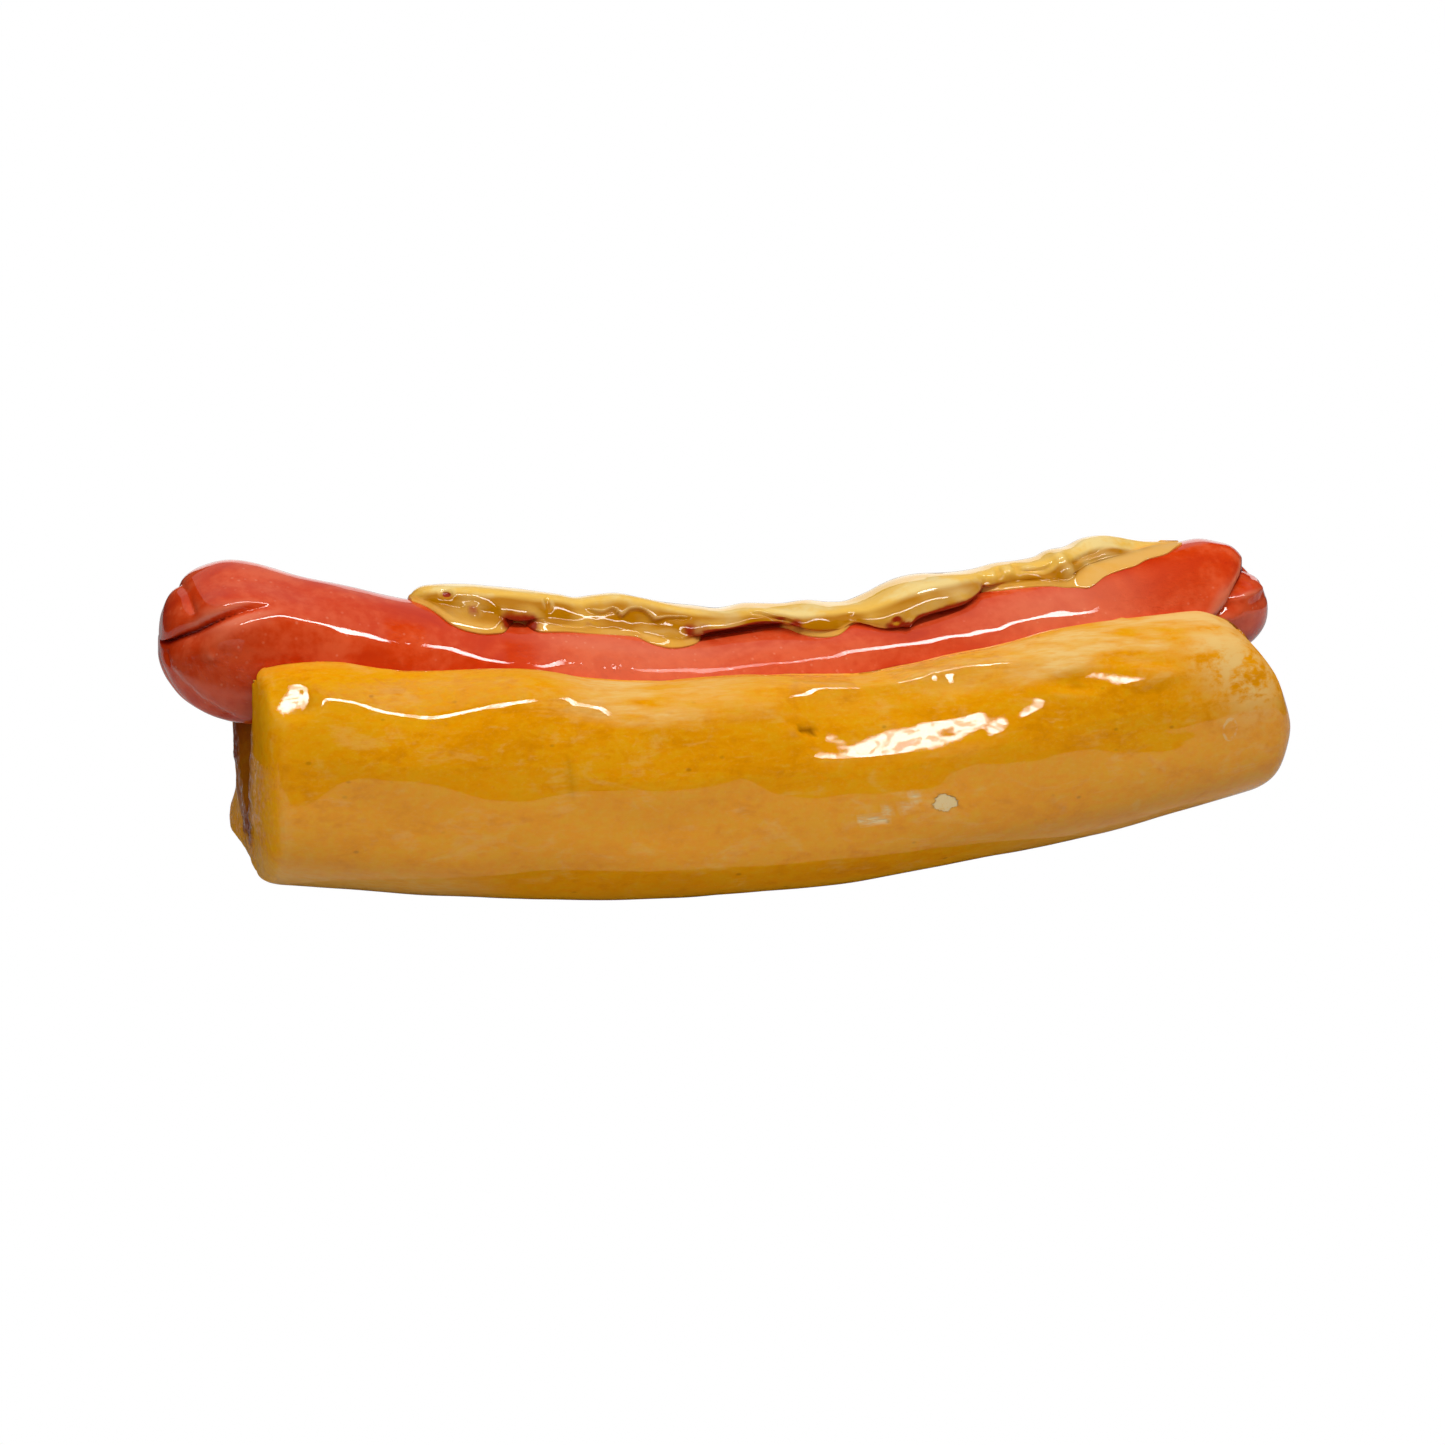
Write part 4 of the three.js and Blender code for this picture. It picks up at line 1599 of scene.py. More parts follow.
@dataclass
class Sausage:
    """A rolled sausage that curls up at both ends, where crossed cuts have opened."""

    line: SausageLine
    left_tip: float = -139.3
    right_tip: float = 138.0
    cap_left: float = 18.6
    cap_right: float = 17.0
    bluntness: float = 2.08
    left_slant: float = 1.6
    right_slant: float = 5.0
    slant_over: float = 30.0
    sides: int = 56
    cap_steps: int = 15
    straight_steps: int = 66
    dimple: float = 0.7
    dimple_width: float = 5.0
    tip_from: float = 125.0
    core: float = 9.0
    waves: tuple[Lumps, ...] = (Lumps((34, 16, 16), 6.3, 0.5), Lumps((12, 7, 7), 1.3, 0.15))
    slits: tuple[Slit, ...] = (
        Slit(((-139.3, 93), (-138.9, 92), (-135, 77), (-130.9, 71), (-127.8, 67), (-121.4, 59),
              (-114, 53)), 5.4, (0.8, 1.2), (1.2, 6.0), 1.7, 1.4),
        Slit(((-139.3, -78), (-132, -88), (-116, -96)), 3.2),
        Slit(((-139.3, 165), (-132, 170), (-120, 176)), 2.2),
        Slit(((138.4, -80), (130, -94), (120, -98)), 3.2),
        Slit(((138.4, 172), (132, 178), (124, 182)), 2.4),
    )
    left_folds: tuple[Rows, ...] = (
        ((-134.6, -40), (-134.4, -22), (-134, 0), (-133.4, 26), (-132.6, 54)),
        ((-138.2, 112), (-137.4, 121), (-133.4, 132), (-129.2, 140), (-125.1, 149)),
    )
    fold_cut: tuple[float, float, float] = (1.1, 0.8, 0.35)
    crease: Course = Course(
        ((-30, 133), (0, 132), (20, 130.8), (32, 129.4), (45, 127.6), (59, 125.4), (72, 122.1),
         (82, 119.7), (95, 117))
    )
    crease_side: Span = Span(-30.0, 40.0, 88.0, 14.0)
    crease_from: Ramp = Ramp(100.0, 10.0)
    step: float = 2.4
    step_in: Ramp = Ramp(-0.5, 1.4)
    step_out: Ramp = Ramp(1.5, 8.0)
    step_lost: float = 0.75
    fold_at: float = 0.4
    fold_depth: float = 1.3
    fold_widths: Pair = (0.5, 1.2)
    swell_at: float = -3.5
    swell_width: float = 3.5
    swell_height: float = 0.9
    ridge: Stroke = ((119.5, 84, -1.2), (124, 83, -1.2), (129, 80, -1.2), (133, 74, -1.2))
    ridge_height: float = 1.3
    ridge_width: float = 2.2
    bump: Mark = Mark(((-129.0, 93.0, 0.0),), 1.6, 0.7)
    gloss: Course = Course((
        (-140, 1), (-91, 1), (-89, 0), (-82, 0), (-80, 0.75), (-64, 0.75), (-62, 0), (-57, 0),
        (-55, 0.6), (-51, 0.6), (-49, 0), (-34, 0), (-30, 0.2), (-3, 0.2), (1, 0.1), (6, 0.25),
        (14, 0.3), (20, 0.5), (30, 0.8), (80, 0.8), (84, 0.2), (90, -1), (122, -1), (129, 0.5),
        (138, 1),
    ))
    band_top: Pair = (36.0, 24.0)
    band_rise: Ramp = Ramp(78.0, 12.0)
    band_in: Ramp = Ramp(0.0, 10.0)
    band_out: Ramp = Ramp(74.0, 8.0)
    # The left end's underside, kept dull and given a little painted shade.
    under: Span = Span(80.0, 8.0, 112.0, 10.0)
    under_until: Ramp = Ramp(-104.0, 8.0)
    cut_shade: Ramp = Ramp(0.25, 0.45)
    ridge_thin: Ramp = Ramp(0.03, 0.12)
    sags: tuple[Sag, ...] = (
        Sag(61, 16, 0.4, -108, -46),
        Sag(46, 18, 1.3, -136, -98),
    )
    flats: tuple[Sag, ...] = (Sag(57.5, 12.0, 0.08, 14.0, 88.0),)
    # Paler salmon painted along X on the front, partly thin glaze and partly painted sheen.
    salmon: Course = Course(
        ((-140, 0), (-70, 0), (-58, 0.1), (-44, 0.4), (-22, 0.4), (0, 0.2), (40, 0.1), (70, 0.35),
         (88, 0.4), (104, 0.1), (138, 0))
    )
    salmon_from: Ramp = Ramp(15.0, 25.0)

    def _half_thickness(self, x: Array) -> Array:
        """Finds the radius, rounded off to nothing at the tips.

        Args:
            x: Places along X.

        Returns:
            The radius at each place.
        """
        caps = 1.0
        for distance, length in (
            (x - self.left_tip, self.cap_left),
            (self.right_tip - x, self.cap_right),
        ):
            t = 1.0 - np.clip(distance / length, 0.0, 1.0)
            caps = caps * (1.0 - t**self.bluntness) ** (1.0 / self.bluntness)
        return self.line.radius(x) * caps

    def _spot(self, x: float, degrees: float, out: float = 0.0) -> Array:
        """A point on the sausage, also near its tips, by its angle from the top to the front."""
        at = np.array([x], float)
        return self.line.beside(at, math.radians(-degrees), self._half_thickness(at) + out)[0]

    def _ring(self, x: float) -> Array:
        """Finds one ring of the sausage, leaning near the tips.

        Args:
            x: Its place along X.

        Returns:
            The ring.
        """
        angle = np.linspace(0.0, 2.0 * np.pi, self.sides, endpoint=False)
        at = np.full(self.sides, x)
        ring = self.line.beside(at, angle, self._half_thickness(at))
        near_left = ease(1.0 - (at - self.left_tip) / self.slant_over)
        near_right = ease(1.0 - (self.right_tip - at) / self.slant_over)
        rise = (ring[:, 2] - self.line.height(at)) / self.line.radius(at)
        ring[:, 0] += (self.left_slant * near_left - self.right_slant * near_right) * rise
        return ring

    def _rings(self) -> list[Array]:
        """Finds all rings from tip to tip.

        Returns:
            The rings.
        """
        turns = np.linspace(0.0, 1.0, self.cap_steps + 1)
        rounded = 1.0 - np.cos(turns * np.pi / 2.0)
        places = [
            *(self.left_tip + self.cap_left * rounded),
            *np.linspace(
                self.left_tip + self.cap_left, self.right_tip - self.cap_right,
                self.straight_steps + 1,
            )[1:-1],
            *(self.right_tip - self.cap_right * rounded)[::-1],
        ]
        return [self._ring(float(x)) for x in places]

    def _work(self, clay: Clay) -> None:
        """Cuts the slits, lays the low waves of a rolled coil, and marks how the glaze lies.

        Args:
            clay: The sausage's points.
        """
        clay.push(sum(clay.rough(lumps) for lumps in self.waves))
        x = clay.points[:, 0].copy()
        angle = self.line.angle_of(clay.points)
        for sag in self.sags:
            off = (angle - sag.centre) / sag.width
            clay.push(sag.depth * off * np.exp(0.5 - off * off / 2.0) * sag.along(x))
        for flat in self.flats:
            clay.push(-flat.depth * bell(angle - flat.centre, flat.width) * flat.along(x))
        out = clay.points - self.line.beside(x, 0.0, 0.0)
        out[:, 0] = 0.0
        here = np.linalg.norm(out, axis=1)
        reach = np.minimum(1.0, here / self.core)
        cuts, moves = zip(*(slit.open(x, angle, here) for slit in self.slits))
        moved = sum(moves) * reach
        past = x - self.crease.at(angle)
        beside = self.crease_side.at(angle) * self.crease_from.up(x)
        step = self.step_in.up(past) * (1.0 - self.step_lost * self.step_out.up(past))
        off = past - self.fold_at
        fold = np.exp(-np.abs(off) / np.where(off < 0.0, *self.fold_widths))
        moved -= beside * (self.step * step + self.fold_depth * fold) * reach
        moved += beside * self.swell_height * bell(past - self.swell_at, self.swell_width)
        cut = np.max([*cuts, beside * fold], axis=0)
        clay.points += out / np.maximum(here, 0.5)[:, None] * moved[:, None]
        tips = np.sign(x) * (np.abs(x) > self.tip_from)
        clay.points[:, 0] -= self.dimple * bell(here, self.dimple_width) * tips
        clay.write()
        for fold_line in self.left_folds:
            clay.groove([self._spot(*at) for at in fold_line], *self.fold_cut)
        ridge = clay.near([self._spot(*at) for at in self.ridge])
        clay.push(self.ridge_height * np.exp(-ridge / self.ridge_width))
        bump = clay.near([self._spot(*at) for at in self.bump.path])
        clay.push(self.bump.depth * bell(bump, self.bump.width))
        self._glaze(clay, angle, cut)

    def _glaze(self, clay: Clay, angle: Array, cut: Array) -> None:
        """Marks where the glaze is dull, where shade is painted in the cuts and underneath, where
        it is thin, and where sheen is painted.

        Args:
            clay: The sausage's points.
            angle: Their angles in degrees from the top towards the front.
            cut: How deep each point lies in a cut, from 0 to 1.
        """
        x = clay.points[:, 0]
        above = self.band_top[0] - self.band_top[1] * self.band_rise.up(x)
        band = self.band_in.up(angle - above) * self.band_out.down(angle)
        under = 0.9 * self.under.at(angle) * self.under_until.down(x)
        clay.paint("dry", np.maximum((1.0 - self.gloss.at(x)) * band, under))
        # Painted shade: dark in the cuts, and lightly on the left end's underside.
        clay.paint("pooled_and_shade", np.maximum(0.95 * self.cut_shade.up(cut), 0.2 * under))
        # Painted sheen, partly thin glaze: paler salmon on the front, by place along X.
        salmon = self.salmon.at(x) * self.salmon_from.up(angle)
        clay.paint("thin", salmon + 0.6 * self.ridge_thin.up(clay.crest()))

    def build(self) -> Piece:
        """Models and glazes the sausage.

        Returns:
            The piece.
        """
        piece = Skin("sausage_clay", self._rings(), 2).build()
        clay = Clay(piece)
        self._work(clay)
        clay.keep_inside(*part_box("sausage"))
        dress(piece, SausageGlaze().material(), "sausage")
        return piece


# ---- Mustard --------------------------------------------------------------------------------


@dataclass(frozen=True)
class Ledge:
    """A torn edge that runs along the strip: it stands proud above a line and hollow below it.

    Attributes:
        course: Places along X, each with the line's angle in degrees from the top to the front.
        height: How high the step is.
        reach: How far the step is felt to either side.
        edge: Over how much the step itself runs.
        fade: Over how much it fades at both ends.
        below: How far it is felt below the line, in shares of its reach.
    """

    course: Rows
    height: float
    reach: float = 2.0
    edge: float = 0.7
    fade: float = 3.0
    below: float = 0.6

    def step(self, x: Array, angle: Array, radius: Array) -> Array:
        """Finds how far the skin moves out.

        Args:
            x: Places along X.
            angle: Their angles in degrees from the top towards the front.
            radius: Their distances from the axis.

        Returns:
            How far each point moves.
        """
        away = np.radians(angle - Course(self.course).at(x)) * radius
        first, last = self.course[0][0], self.course[-1][0]
        held = ease((x - first) / self.fade) * ease((last - x) / self.fade)
        side = 0.5 - ease((away + self.edge / 2.0) / self.edge)
        reach = np.where(away < 0, self.reach, self.below * self.reach)
        return self.height * held * side * np.exp(-np.abs(away) / reach)


@dataclass
class Mustard:
    """A strip of clay laid along the sausage's top, pinched and torn, with skirts of glaze."""

    line: SausageLine
    left: float = -82.0
    right: float = 114.0
    stations: int = 240
    thickness: Course = Course((
        (-82, 0.5), (-80.5, 2.4), (-78, 3.9), (-70, 5.6), (-62, 6.2), (-54, 6.4), (-47, 6.4),
        (-43, 5.9), (-38, 6.8), (-33, 7.7), (-28, 7.3), (-22, 6.3), (-14, 5.7), (-8, 4.9),
        (-2, 5.3), (3, 4.8), (8, 4.4), (14, 4.5), (19, 3.5), (24, 3), (29, 4.1), (36, 6),
        (42, 6.3), (50, 5.5), (58, 5), (64, 5.3), (70, 4.7), (75, 4.6), (78, 5.6), (83, 5.5),
        (88, 6.5), (93, 6.1), (97, 4.9), (104, 2.5), (110, 1.2), (114, 0.4),
    ))
    film_front: Course = Course((
        (-82, 6), (-79.1, 14), (-76.8, 24), (-74.8, 33), (-72, 38), (-68, 39.5), (-64.5, 37),
        (-62, 33), (-60, 22), (-58.5, 15), (-57, 16), (-55.5, 24), (-54, 27), (-50.5, 25),
        (-47, 22.5), (-41, 22), (-36.7, 21.5), (-32, 20.5), (-30, 22), (-28.9, 26.5),
        (-26.5, 31.5), (-23, 34), (-19, 31.5), (-16, 26), (-13.5, 16), (-8, 13), (-2, 10),
        (4, 9), (7, 14), (9, 25), (11.2, 31), (14.7, 35), (18, 35), (20, 31), (22, 25), (25, 24),
        (30, 30), (35, 30), (40, 25), (50, 20), (54, 14), (57, 8), (61.6, 12), (66.2, 16),
        (71.3, 20), (75, 25), (77.6, 30), (80.3, 33), (83.6, 37), (86, 34), (89.3, 28), (94, 25),
        (98.3, 24), (102, 19), (107.7, 18), (111.6, 10), (114, 5),
    ))
    foot_front: Course = Course((
        (-82, 3), (-79, 9), (-76, 20), (-72.5, 31), (-68.5, 35), (-65, 34), (-62.3, 26),
        (-60, 18), (-57, 16), (-54, 19), (-48, 19.5), (-40, 17.5), (-33, 17), (-28, 21),
        (-22, 28), (-18.5, 26), (-15.5, 18), (-12, 15), (-6, 13), (0, 10), (5, 9), (8, 17),
        (11, 27), (15, 31), (19, 29), (22.5, 22), (26, 22), (31, 30), (36, 31), (42, 26),
        (49, 21), (54, 14), (58, 8), (63, 11), (69, 14), (74, 21), (79, 27), (82, 20), (86, 12),
        (94, 8), (104, 4), (114, 2),
    ))
    lip_front: Course = Course((
        (-82, 3), (-79, 10), (-76, 15), (-72, 18), (-67, 19), (-64, 20), (-61.5, 24),
        (-58, 24.5), (-55, 21), (-51, 15), (-46, 13), (-40, 11), (-34, 11), (-28, 13), (-22, 18),
        (-18, 22.5), (-15, 23.5), (-10, 21), (-4, 18.5), (2, 16.5), (5.5, 20), (8.5, 27),
        (11, 30), (15, 32), (19, 30), (22.5, 25), (25, 29), (29, 37), (34, 40), (39, 37.5),
        (46, 34.5), (51, 30), (54.5, 23), (57.5, 14), (61, 11), (66, 11), (71, 16), (75, 20),
        (79, 24), (82, 17), (86, 10), (94, 6), (104, 3), (114, 0),
    ))
    brow_front: Course = Course((
        (-82, 1), (-79, 8), (-76, 11), (-71, 13), (-65, 13.5), (-59, 12), (-53, 8.5), (-47, 7),
        (-41, 5), (-34, 5), (-28, 8), (-22, 11), (-16, 14), (-8, 16), (-1, 15), (4, 15), (8, 21),
        (12, 25), (17, 24), (22, 20), (26, 24), (32, 25.5), (40, 23.5), (47, 21), (52, 17),
        (56, 12), (60, 8), (66, 8), (72, 12), (78, 13), (82, 9), (88, 3), (95, 0), (104, -2),
        (114, -2),
    ))
    back: Course = Course((
        (-82, 8), (-79, 20), (-74, 31), (-62, 32), (-52, 33), (-42, 35), (-33, 31), (-24, 33),
        (0, 37), (15, 33), (33, 35), (42, 37), (54, 33), (64, 31), (76, 35), (95, 33), (104, 22),
        (110, 14), (114, 6),
    ))
    belly: Course = Course((
        (-82, 0.2), (-64, 0.1), (-61, 1), (-55, 1), (-52, 0.1), (-40, 0), (-37, 0.3), (-22, 0.4),
        (-17, 0.9), (8, 1), (12, 0.6), (22, 0.5), (27, 1), (55, 1), (60, 0.4), (68, 0.4),
        (74, 0.7), (82, 0.3), (90, 0.2), (114, 0.2),
    ))
    ledges: tuple[Ledge, ...] = (
        Ledge(((-3, 12), (1, 12.5), (4, 15), (7, 20), (9.5, 27)), 1, 1.8),
        Ledge(((-42, 5), (-38, 8), (-35, 7), (-33.4, 10), (-31, 8), (-28, 9), (-25.5, 13),
               (-22, 13), (-16, 15)), 1.2, 1.7),
        Ledge(((67, 7), (70, 9), (74, 11), (77, 10)), 0.9, 1.4),
    )
    film: float = 0.35
    bury: float = 0.8
    facing: float = 54.0
    samples: tuple[int, ...] = (1, 2, 4, 2, 3, 4, 4, 4, 4, 4, 5, 7, 4, 4, 3, 3, 1, 7, 7, 1)
    film_least: float = 0.9
    film_most: float = 1.2
    steepest: float = 33.0
    flattest: float = 6.0
    brow_steps: Pair = (1.0, 1.2)
    share_stops: Rows = ((0, 3.0), (0.02, 1.6), (0.05, 1.0), (0.95, 1.0), (1, 2.0))
    body: Ramp = Ramp(0.5, 1.2)
    body_lumps: Lumps = Lumps((20, 9, 9), 2.2, 0.4)
    ledge_above: Ramp = Ramp(0.4, 0.8)
    pinches: tuple[Mark, ...] = (
        Mark(((-73, 16, 3.6), (-68, 17, 4)), 1, -0.4),
        Mark(((-50.9, -6, 5.4), (-50.6, 6, 5), (-50, 20, 2.6)), 0.5, -1),
        Mark(((-41.5, 15, 2),), 1.6, 0.5),
        Mark(((-16.2, 22, 2.4),), 1.8, 0.6),
        Mark(((22.4, 22, 2.6),), 1.1, -0.6),
        Mark(((35.2, 40, 2),), 1.3, 0.7),
        Mark(((32.2, 36, 2),), 0.9, -0.6),
        Mark(((58, 17, 1.6), (58.2, 12, 3.2)), 1.3, -0.9),
        Mark(((60.3, 8, 4.2),), 1.5, 0.6),
        Mark(((64.6, 7, 4.2),), 2, 0.8),
        Mark(((69.4, 12, 3.8),), 2, 0.9),
        Mark(((62.4, 10, 3.6), (62.4, 4, 4.6)), 0.8, -0.6),
        Mark(((67.2, 12, 3.4), (67, 4, 4.6)), 0.8, -0.6),
        Mark(((74.2, 17, 3),), 1.4, -0.9),
        Mark(((78.4, 10, 4.2),), 1.7, 0.9),
        Mark(((80, 20, 2.6),), 2.2, 0.8),
        Mark(((82, 12, 3), (85, 8, 3.4), (89, 5, 3.2), (95, -4, 3)), 0.7, -0.7),
    )
    pinch_above: Ramp = Ramp(-0.1, 0.6)
    pit: Stroke = ((-74.6, 72.7, 0.2), (-73.9, 72.7, 0.2))
    pit_cut: Pair = (0.9, 0.7)
    pit_stain: Pair = (1.4, 0.4)
    bead: Stroke = ((-69.0, 68.8, 0.4), (-68.8, 68.8, 0.4))
    bead_rise: Pair = (0.8, 1.1)
    bead_stain: Pair = (0.72, 1.1)
    ahead: Span = Span(3.0, 3.0, 90.0, 20.0)
    # Where painted shade lies on the front faces below the brow, with more near x = -8 and less
    # near x = 47.
    face_from: Ramp = Ramp(-4.0, 5.0)
    face_right: tuple[float, Ramp] = (3.0, Ramp(50.0, 10.0))
    face_dark: tuple[float, float, float] = (0.6, -8.0, 5.0)
    face_dark_from: Ramp = Ramp(-8.0, 4.0)
    face_light: tuple[float, float, float] = (0.25, 47.0, 9.0)
    hollow: Ramp = Ramp(0.012, 0.05)
    patches: Lumps = Lumps((9, 6, 6), 6.6, 0.5)
    olive_above: Ramp = Ramp(0.7, 0.5)
    dull: Pair = (-23.0, 8.0)
    dull_until: Ramp = Ramp(1.2, 0.8)
    film_until: Ramp = Ramp(0.8, 0.6)
    ridge_thin: Ramp = Ramp(0.02, 0.08)
    stains: tuple[Mark, ...] = (
        Mark(((-73, 16, 3.8), (-67, 17, 4.2)), 1.2, 0.45),
        Mark(((-60.5, 24, 1), (-56, 24, 1)), 2.6, 1.3),
        Mark(((-50, 19, 3),), 1.3, 0.75),
        Mark(((-41.5, 18, 3),), 2, 0.7),
        Mark(((-18, 22, 2.4), (-12, 20, 1.4)), 2, 1),
        Mark(((8, 24, 1.8),), 2, 1.1),
        Mark(((35, 41, 1.2),), 1.8, 1.1),
        Mark(((57, 16, 1.5),), 2, 0.9),
        Mark(((62, 8, 1.5),), 1.2, 0.5),
    )
    steep: Ramp = Ramp(-0.5, 0.4)
    steep_until: Ramp = Ramp(2.9, 1.1)
    loose: tuple[Span, ...] = (Span(-17.0, 3.0, 5.0, 2.0), Span(28.0, 3.0, 57.0, 2.0))
    loose_until: Ramp = Ramp(0.6, 0.6)
    loose_ahead: Ramp = Ramp(-4.0, 6.0)

    def _controls(self, x: float) -> Array:
        """Finds the corner points of a section.

        Args:
            x: Its place along X.

        Returns:
            The corners, each as its distance across the top and its height above it.
        """
        at = np.array(x)
        arc = math.radians(1.0) * float(self.line.radius(at))
        edge, foot, lip, brow = (
            -float(course.at(at)) * arc
            for course in (self.film_front, self.foot_front, self.lip_front, self.brow_front)
        )
        foot = max(foot, edge + self.film_least)
        tall, belly = float(self.thickness.at(at)), float(self.belly.at(at))
        lip = foot + (lip - foot) * min(1.0, tall / 3.0)
        back = float(self.back.at(at)) * arc
        small = min(1.0, tall / 3.5)
        taper = self.facing - float(self.film_front.at(at))
        taper = math.tan(math.radians(min(self.steepest, max(self.flattest, taper))))
        film = min(self.film + taper * (foot - edge), self.film_most, 0.6 * tall)
        turn = self.facing - float(self.brow_front.at(at))
        third = tall - 0.08 * small
        near, far = self.brow_steps
        second = third - far * math.tan(math.radians(max(4.0, turn - 16.0))) * small
        first = second - math.tan(math.radians(turn)) * small
        low = max(0.2 * tall, min((0.32 + 0.16 * belly) * tall, first - 0.75 * (brow - lip)))
        inner = max(0.4, min(2.6, (back - foot) / 5.0))
        return np.array(
            [
                (edge, -self.bury),
                (edge + 0.05, 0.3 * self.film),
                (edge + 0.35, min(self.film, film)),
                (foot - 0.2, film),
                (foot + 0.12 * (lip - foot), film + (0.04 + 0.06 * belly) * tall),
                (foot + 0.6 * (lip - foot), film + 0.55 * (low - film)),
                (lip, low),
                (lip + 0.45 * (brow - lip), low + (0.5 + 0.14 * belly) * (first - low)),
                (brow, first),
                (brow + near, second),
                (brow + near + far, third),
                ((brow + near + far + back - inner) / 2.0, tall),
                (back - inner, 0.92 * tall),
                (back - 0.15 * inner, 0.7 * tall),
                (back + 0.15, 0.4 * tall),
                (back + 0.4, 0.7 * self.film),
                (back + 0.9, 0.35 * self.film),
                (back + 1.3, -self.bury),
                (back * 0.5, -self.bury),
                (edge * 0.5, -self.bury),
            ]
        )

    def _ring(self, x: float) -> Array:
        """Finds one ring of the mustard, a smooth closed curve through its corner points.

        Args:
            x: Its place along X.

        Returns:
            The ring.
        """
        corners = self._controls(x)
        count = len(corners)
        points = []
        for i, steps in enumerate(self.samples):
            before, here, there, after = (corners[(i + k) % count] for k in (-1, 0, 1, 2))
            t = np.arange(steps)[:, None] / steps
            bends = (
                2 * here,
                there - before,
                2 * before - 5 * here + 4 * there - after,
                3 * here - before - 3 * there + after,
            )
            points.append(0.5 * sum(bend * t**power for power, bend in enumerate(bends)))
        across, up = np.concatenate(points).T
        at = np.full(len(across), x)
        radius = self.line.radius(at)
        return self.line.beside(at, across / radius, radius + up)

    def _rings(self) -> list[Array]:
        """Finds all rings from the left tip to the right, closed flat at both ends.

        Returns:
            The rings.
        """
        share = spread(self.share_stops, self.stations)
        rings = [self._ring(self.left + (self.right - self.left) * float(s)) for s in share]
        return [self._tip(rings[0]), *rings, self._tip(rings[-1])]

    @staticmethod
    def _tip(ring: Array) -> Array:
        """A ring drawn together to one point."""
        return np.repeat(ring.mean(axis=0)[None, :], len(ring), axis=0)

    def _marked(self, clay: Clay, mark: Mark) -> Array:
        """How strong a mark is at each point, its path given by x, angle and height."""
        path = [self.line.spot(*corner) for corner in mark.path]
        return mark.depth * bell(clay.near(path), mark.width)

    def _work(self, clay: Clay) -> None:
        """Pinches, tears and smooths the strip, and marks how its glaze lies, with painted shade
        on its front faces.

        Args:
            clay: The mustard's points.
        """
        x, y, z = clay.points.T
        height = (z - self.line.height(x)) / self.line.tallness(x)
        up = np.hypot(y - self.line.bend.middle(x), height) - self.line.radius(x)
        clay.push(clay.rough(self.body_lumps) * self.body.up(up))
        angle = self.line.angle_of(clay.points)
        for ledge in self.ledges:
            step = ledge.step(x, angle, self.line.radius(x) + up)
            clay.push(step * self.ledge_above.up(up))
        for pinch in self.pinches:
            clay.push(self._marked(clay, pinch) * self.pinch_above.up(up))
        pit, bead = (np.maximum(0.0, clay.stroke(path)) for path in (self.pit, self.bead))
        ahead = self.ahead.at(angle)
        raised = self.bead_rise[0] * bell(bead, self.bead_rise[1])
        clay.push((raised - self.pit_cut[0] * bell(pit, self.pit_cut[1])) * ahead)
        crest = clay.crest(2)
        # Painted shade, partly thick glaze: darker on the front faces below the brow and in
        # hollows.
        below = angle - self.brow_front.at(x)
        face = self.face_from.up(below - self.face_right[0] * self.face_right[1].up(x))
        hollow = self.hollow.up(-clay.average(clay.crest(8), 6))
        much, at, width = self.face_dark
        face += much * bell(x - at, width) * self.face_dark_from.up(below)
        much, at, width = self.face_light
        face = np.minimum(1.0, face) * (1.0 - much * bell(x - at, width))
        olive_shade = 1.2 * face * (0.75 + clay.rough(self.patches)) + 0.3 * hollow
        clay.paint("olive_shade", olive_shade * self.olive_above.up(up))
        clay.paint("dull", bell(x - self.dull[0], self.dull[1]) * self.dull_until.down(up))
        clay.paint("film", self.film_until.down(up))
        clay.paint("thin", 0.4 * self.ridge_thin.up(crest))
        spots = [self._marked(clay, stain) for stain in self.stains]
        for away, (much, width) in ((pit, self.pit_stain), (bead, self.bead_stain)):
            spots.append(much * bell(away, width) * ahead)
        hanging = self.steep.up(-clay.normals[:, 2]) * self.steep_until.down(up)
        loose = np.maximum(hanging, self.loose_until.down(up))
        loose = loose * sum(part.at(x) for part in self.loose)
        clay.paint("stain", np.max([*spots, loose * self.loose_ahead.up(angle)], axis=0))

    def build(self) -> Piece:
        """Models and glazes the mustard.

        Returns:
            The piece.
        """
        piece = Skin("mustard_clay", self._rings(), 1).build()
        clay = Clay(piece)
        self._work(clay)
        clay.keep_inside(*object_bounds())
        dress(piece, MustardGlaze().material(), "mustard")
        return piece


# ---- Studio ---------------------------------------------------------------------------------


class Ray(Enum):
    """Kinds of light rays that can be kept from meeting a piece of the stage."""

    CAMERA = "visible_camera"
    DIFFUSE = "visible_diffuse"
    GLOSSY = "visible_glossy"
    SHADOW = "visible_shadow"
    THROUGH = "visible_transmission"


SEEN_ONLY = (Ray.GLOSSY, Ray.DIFFUSE, Ray.SHADOW, Ray.THROUGH)
MIRRORED_ONLY = (Ray.CAMERA, Ray.DIFFUSE, Ray.SHADOW)


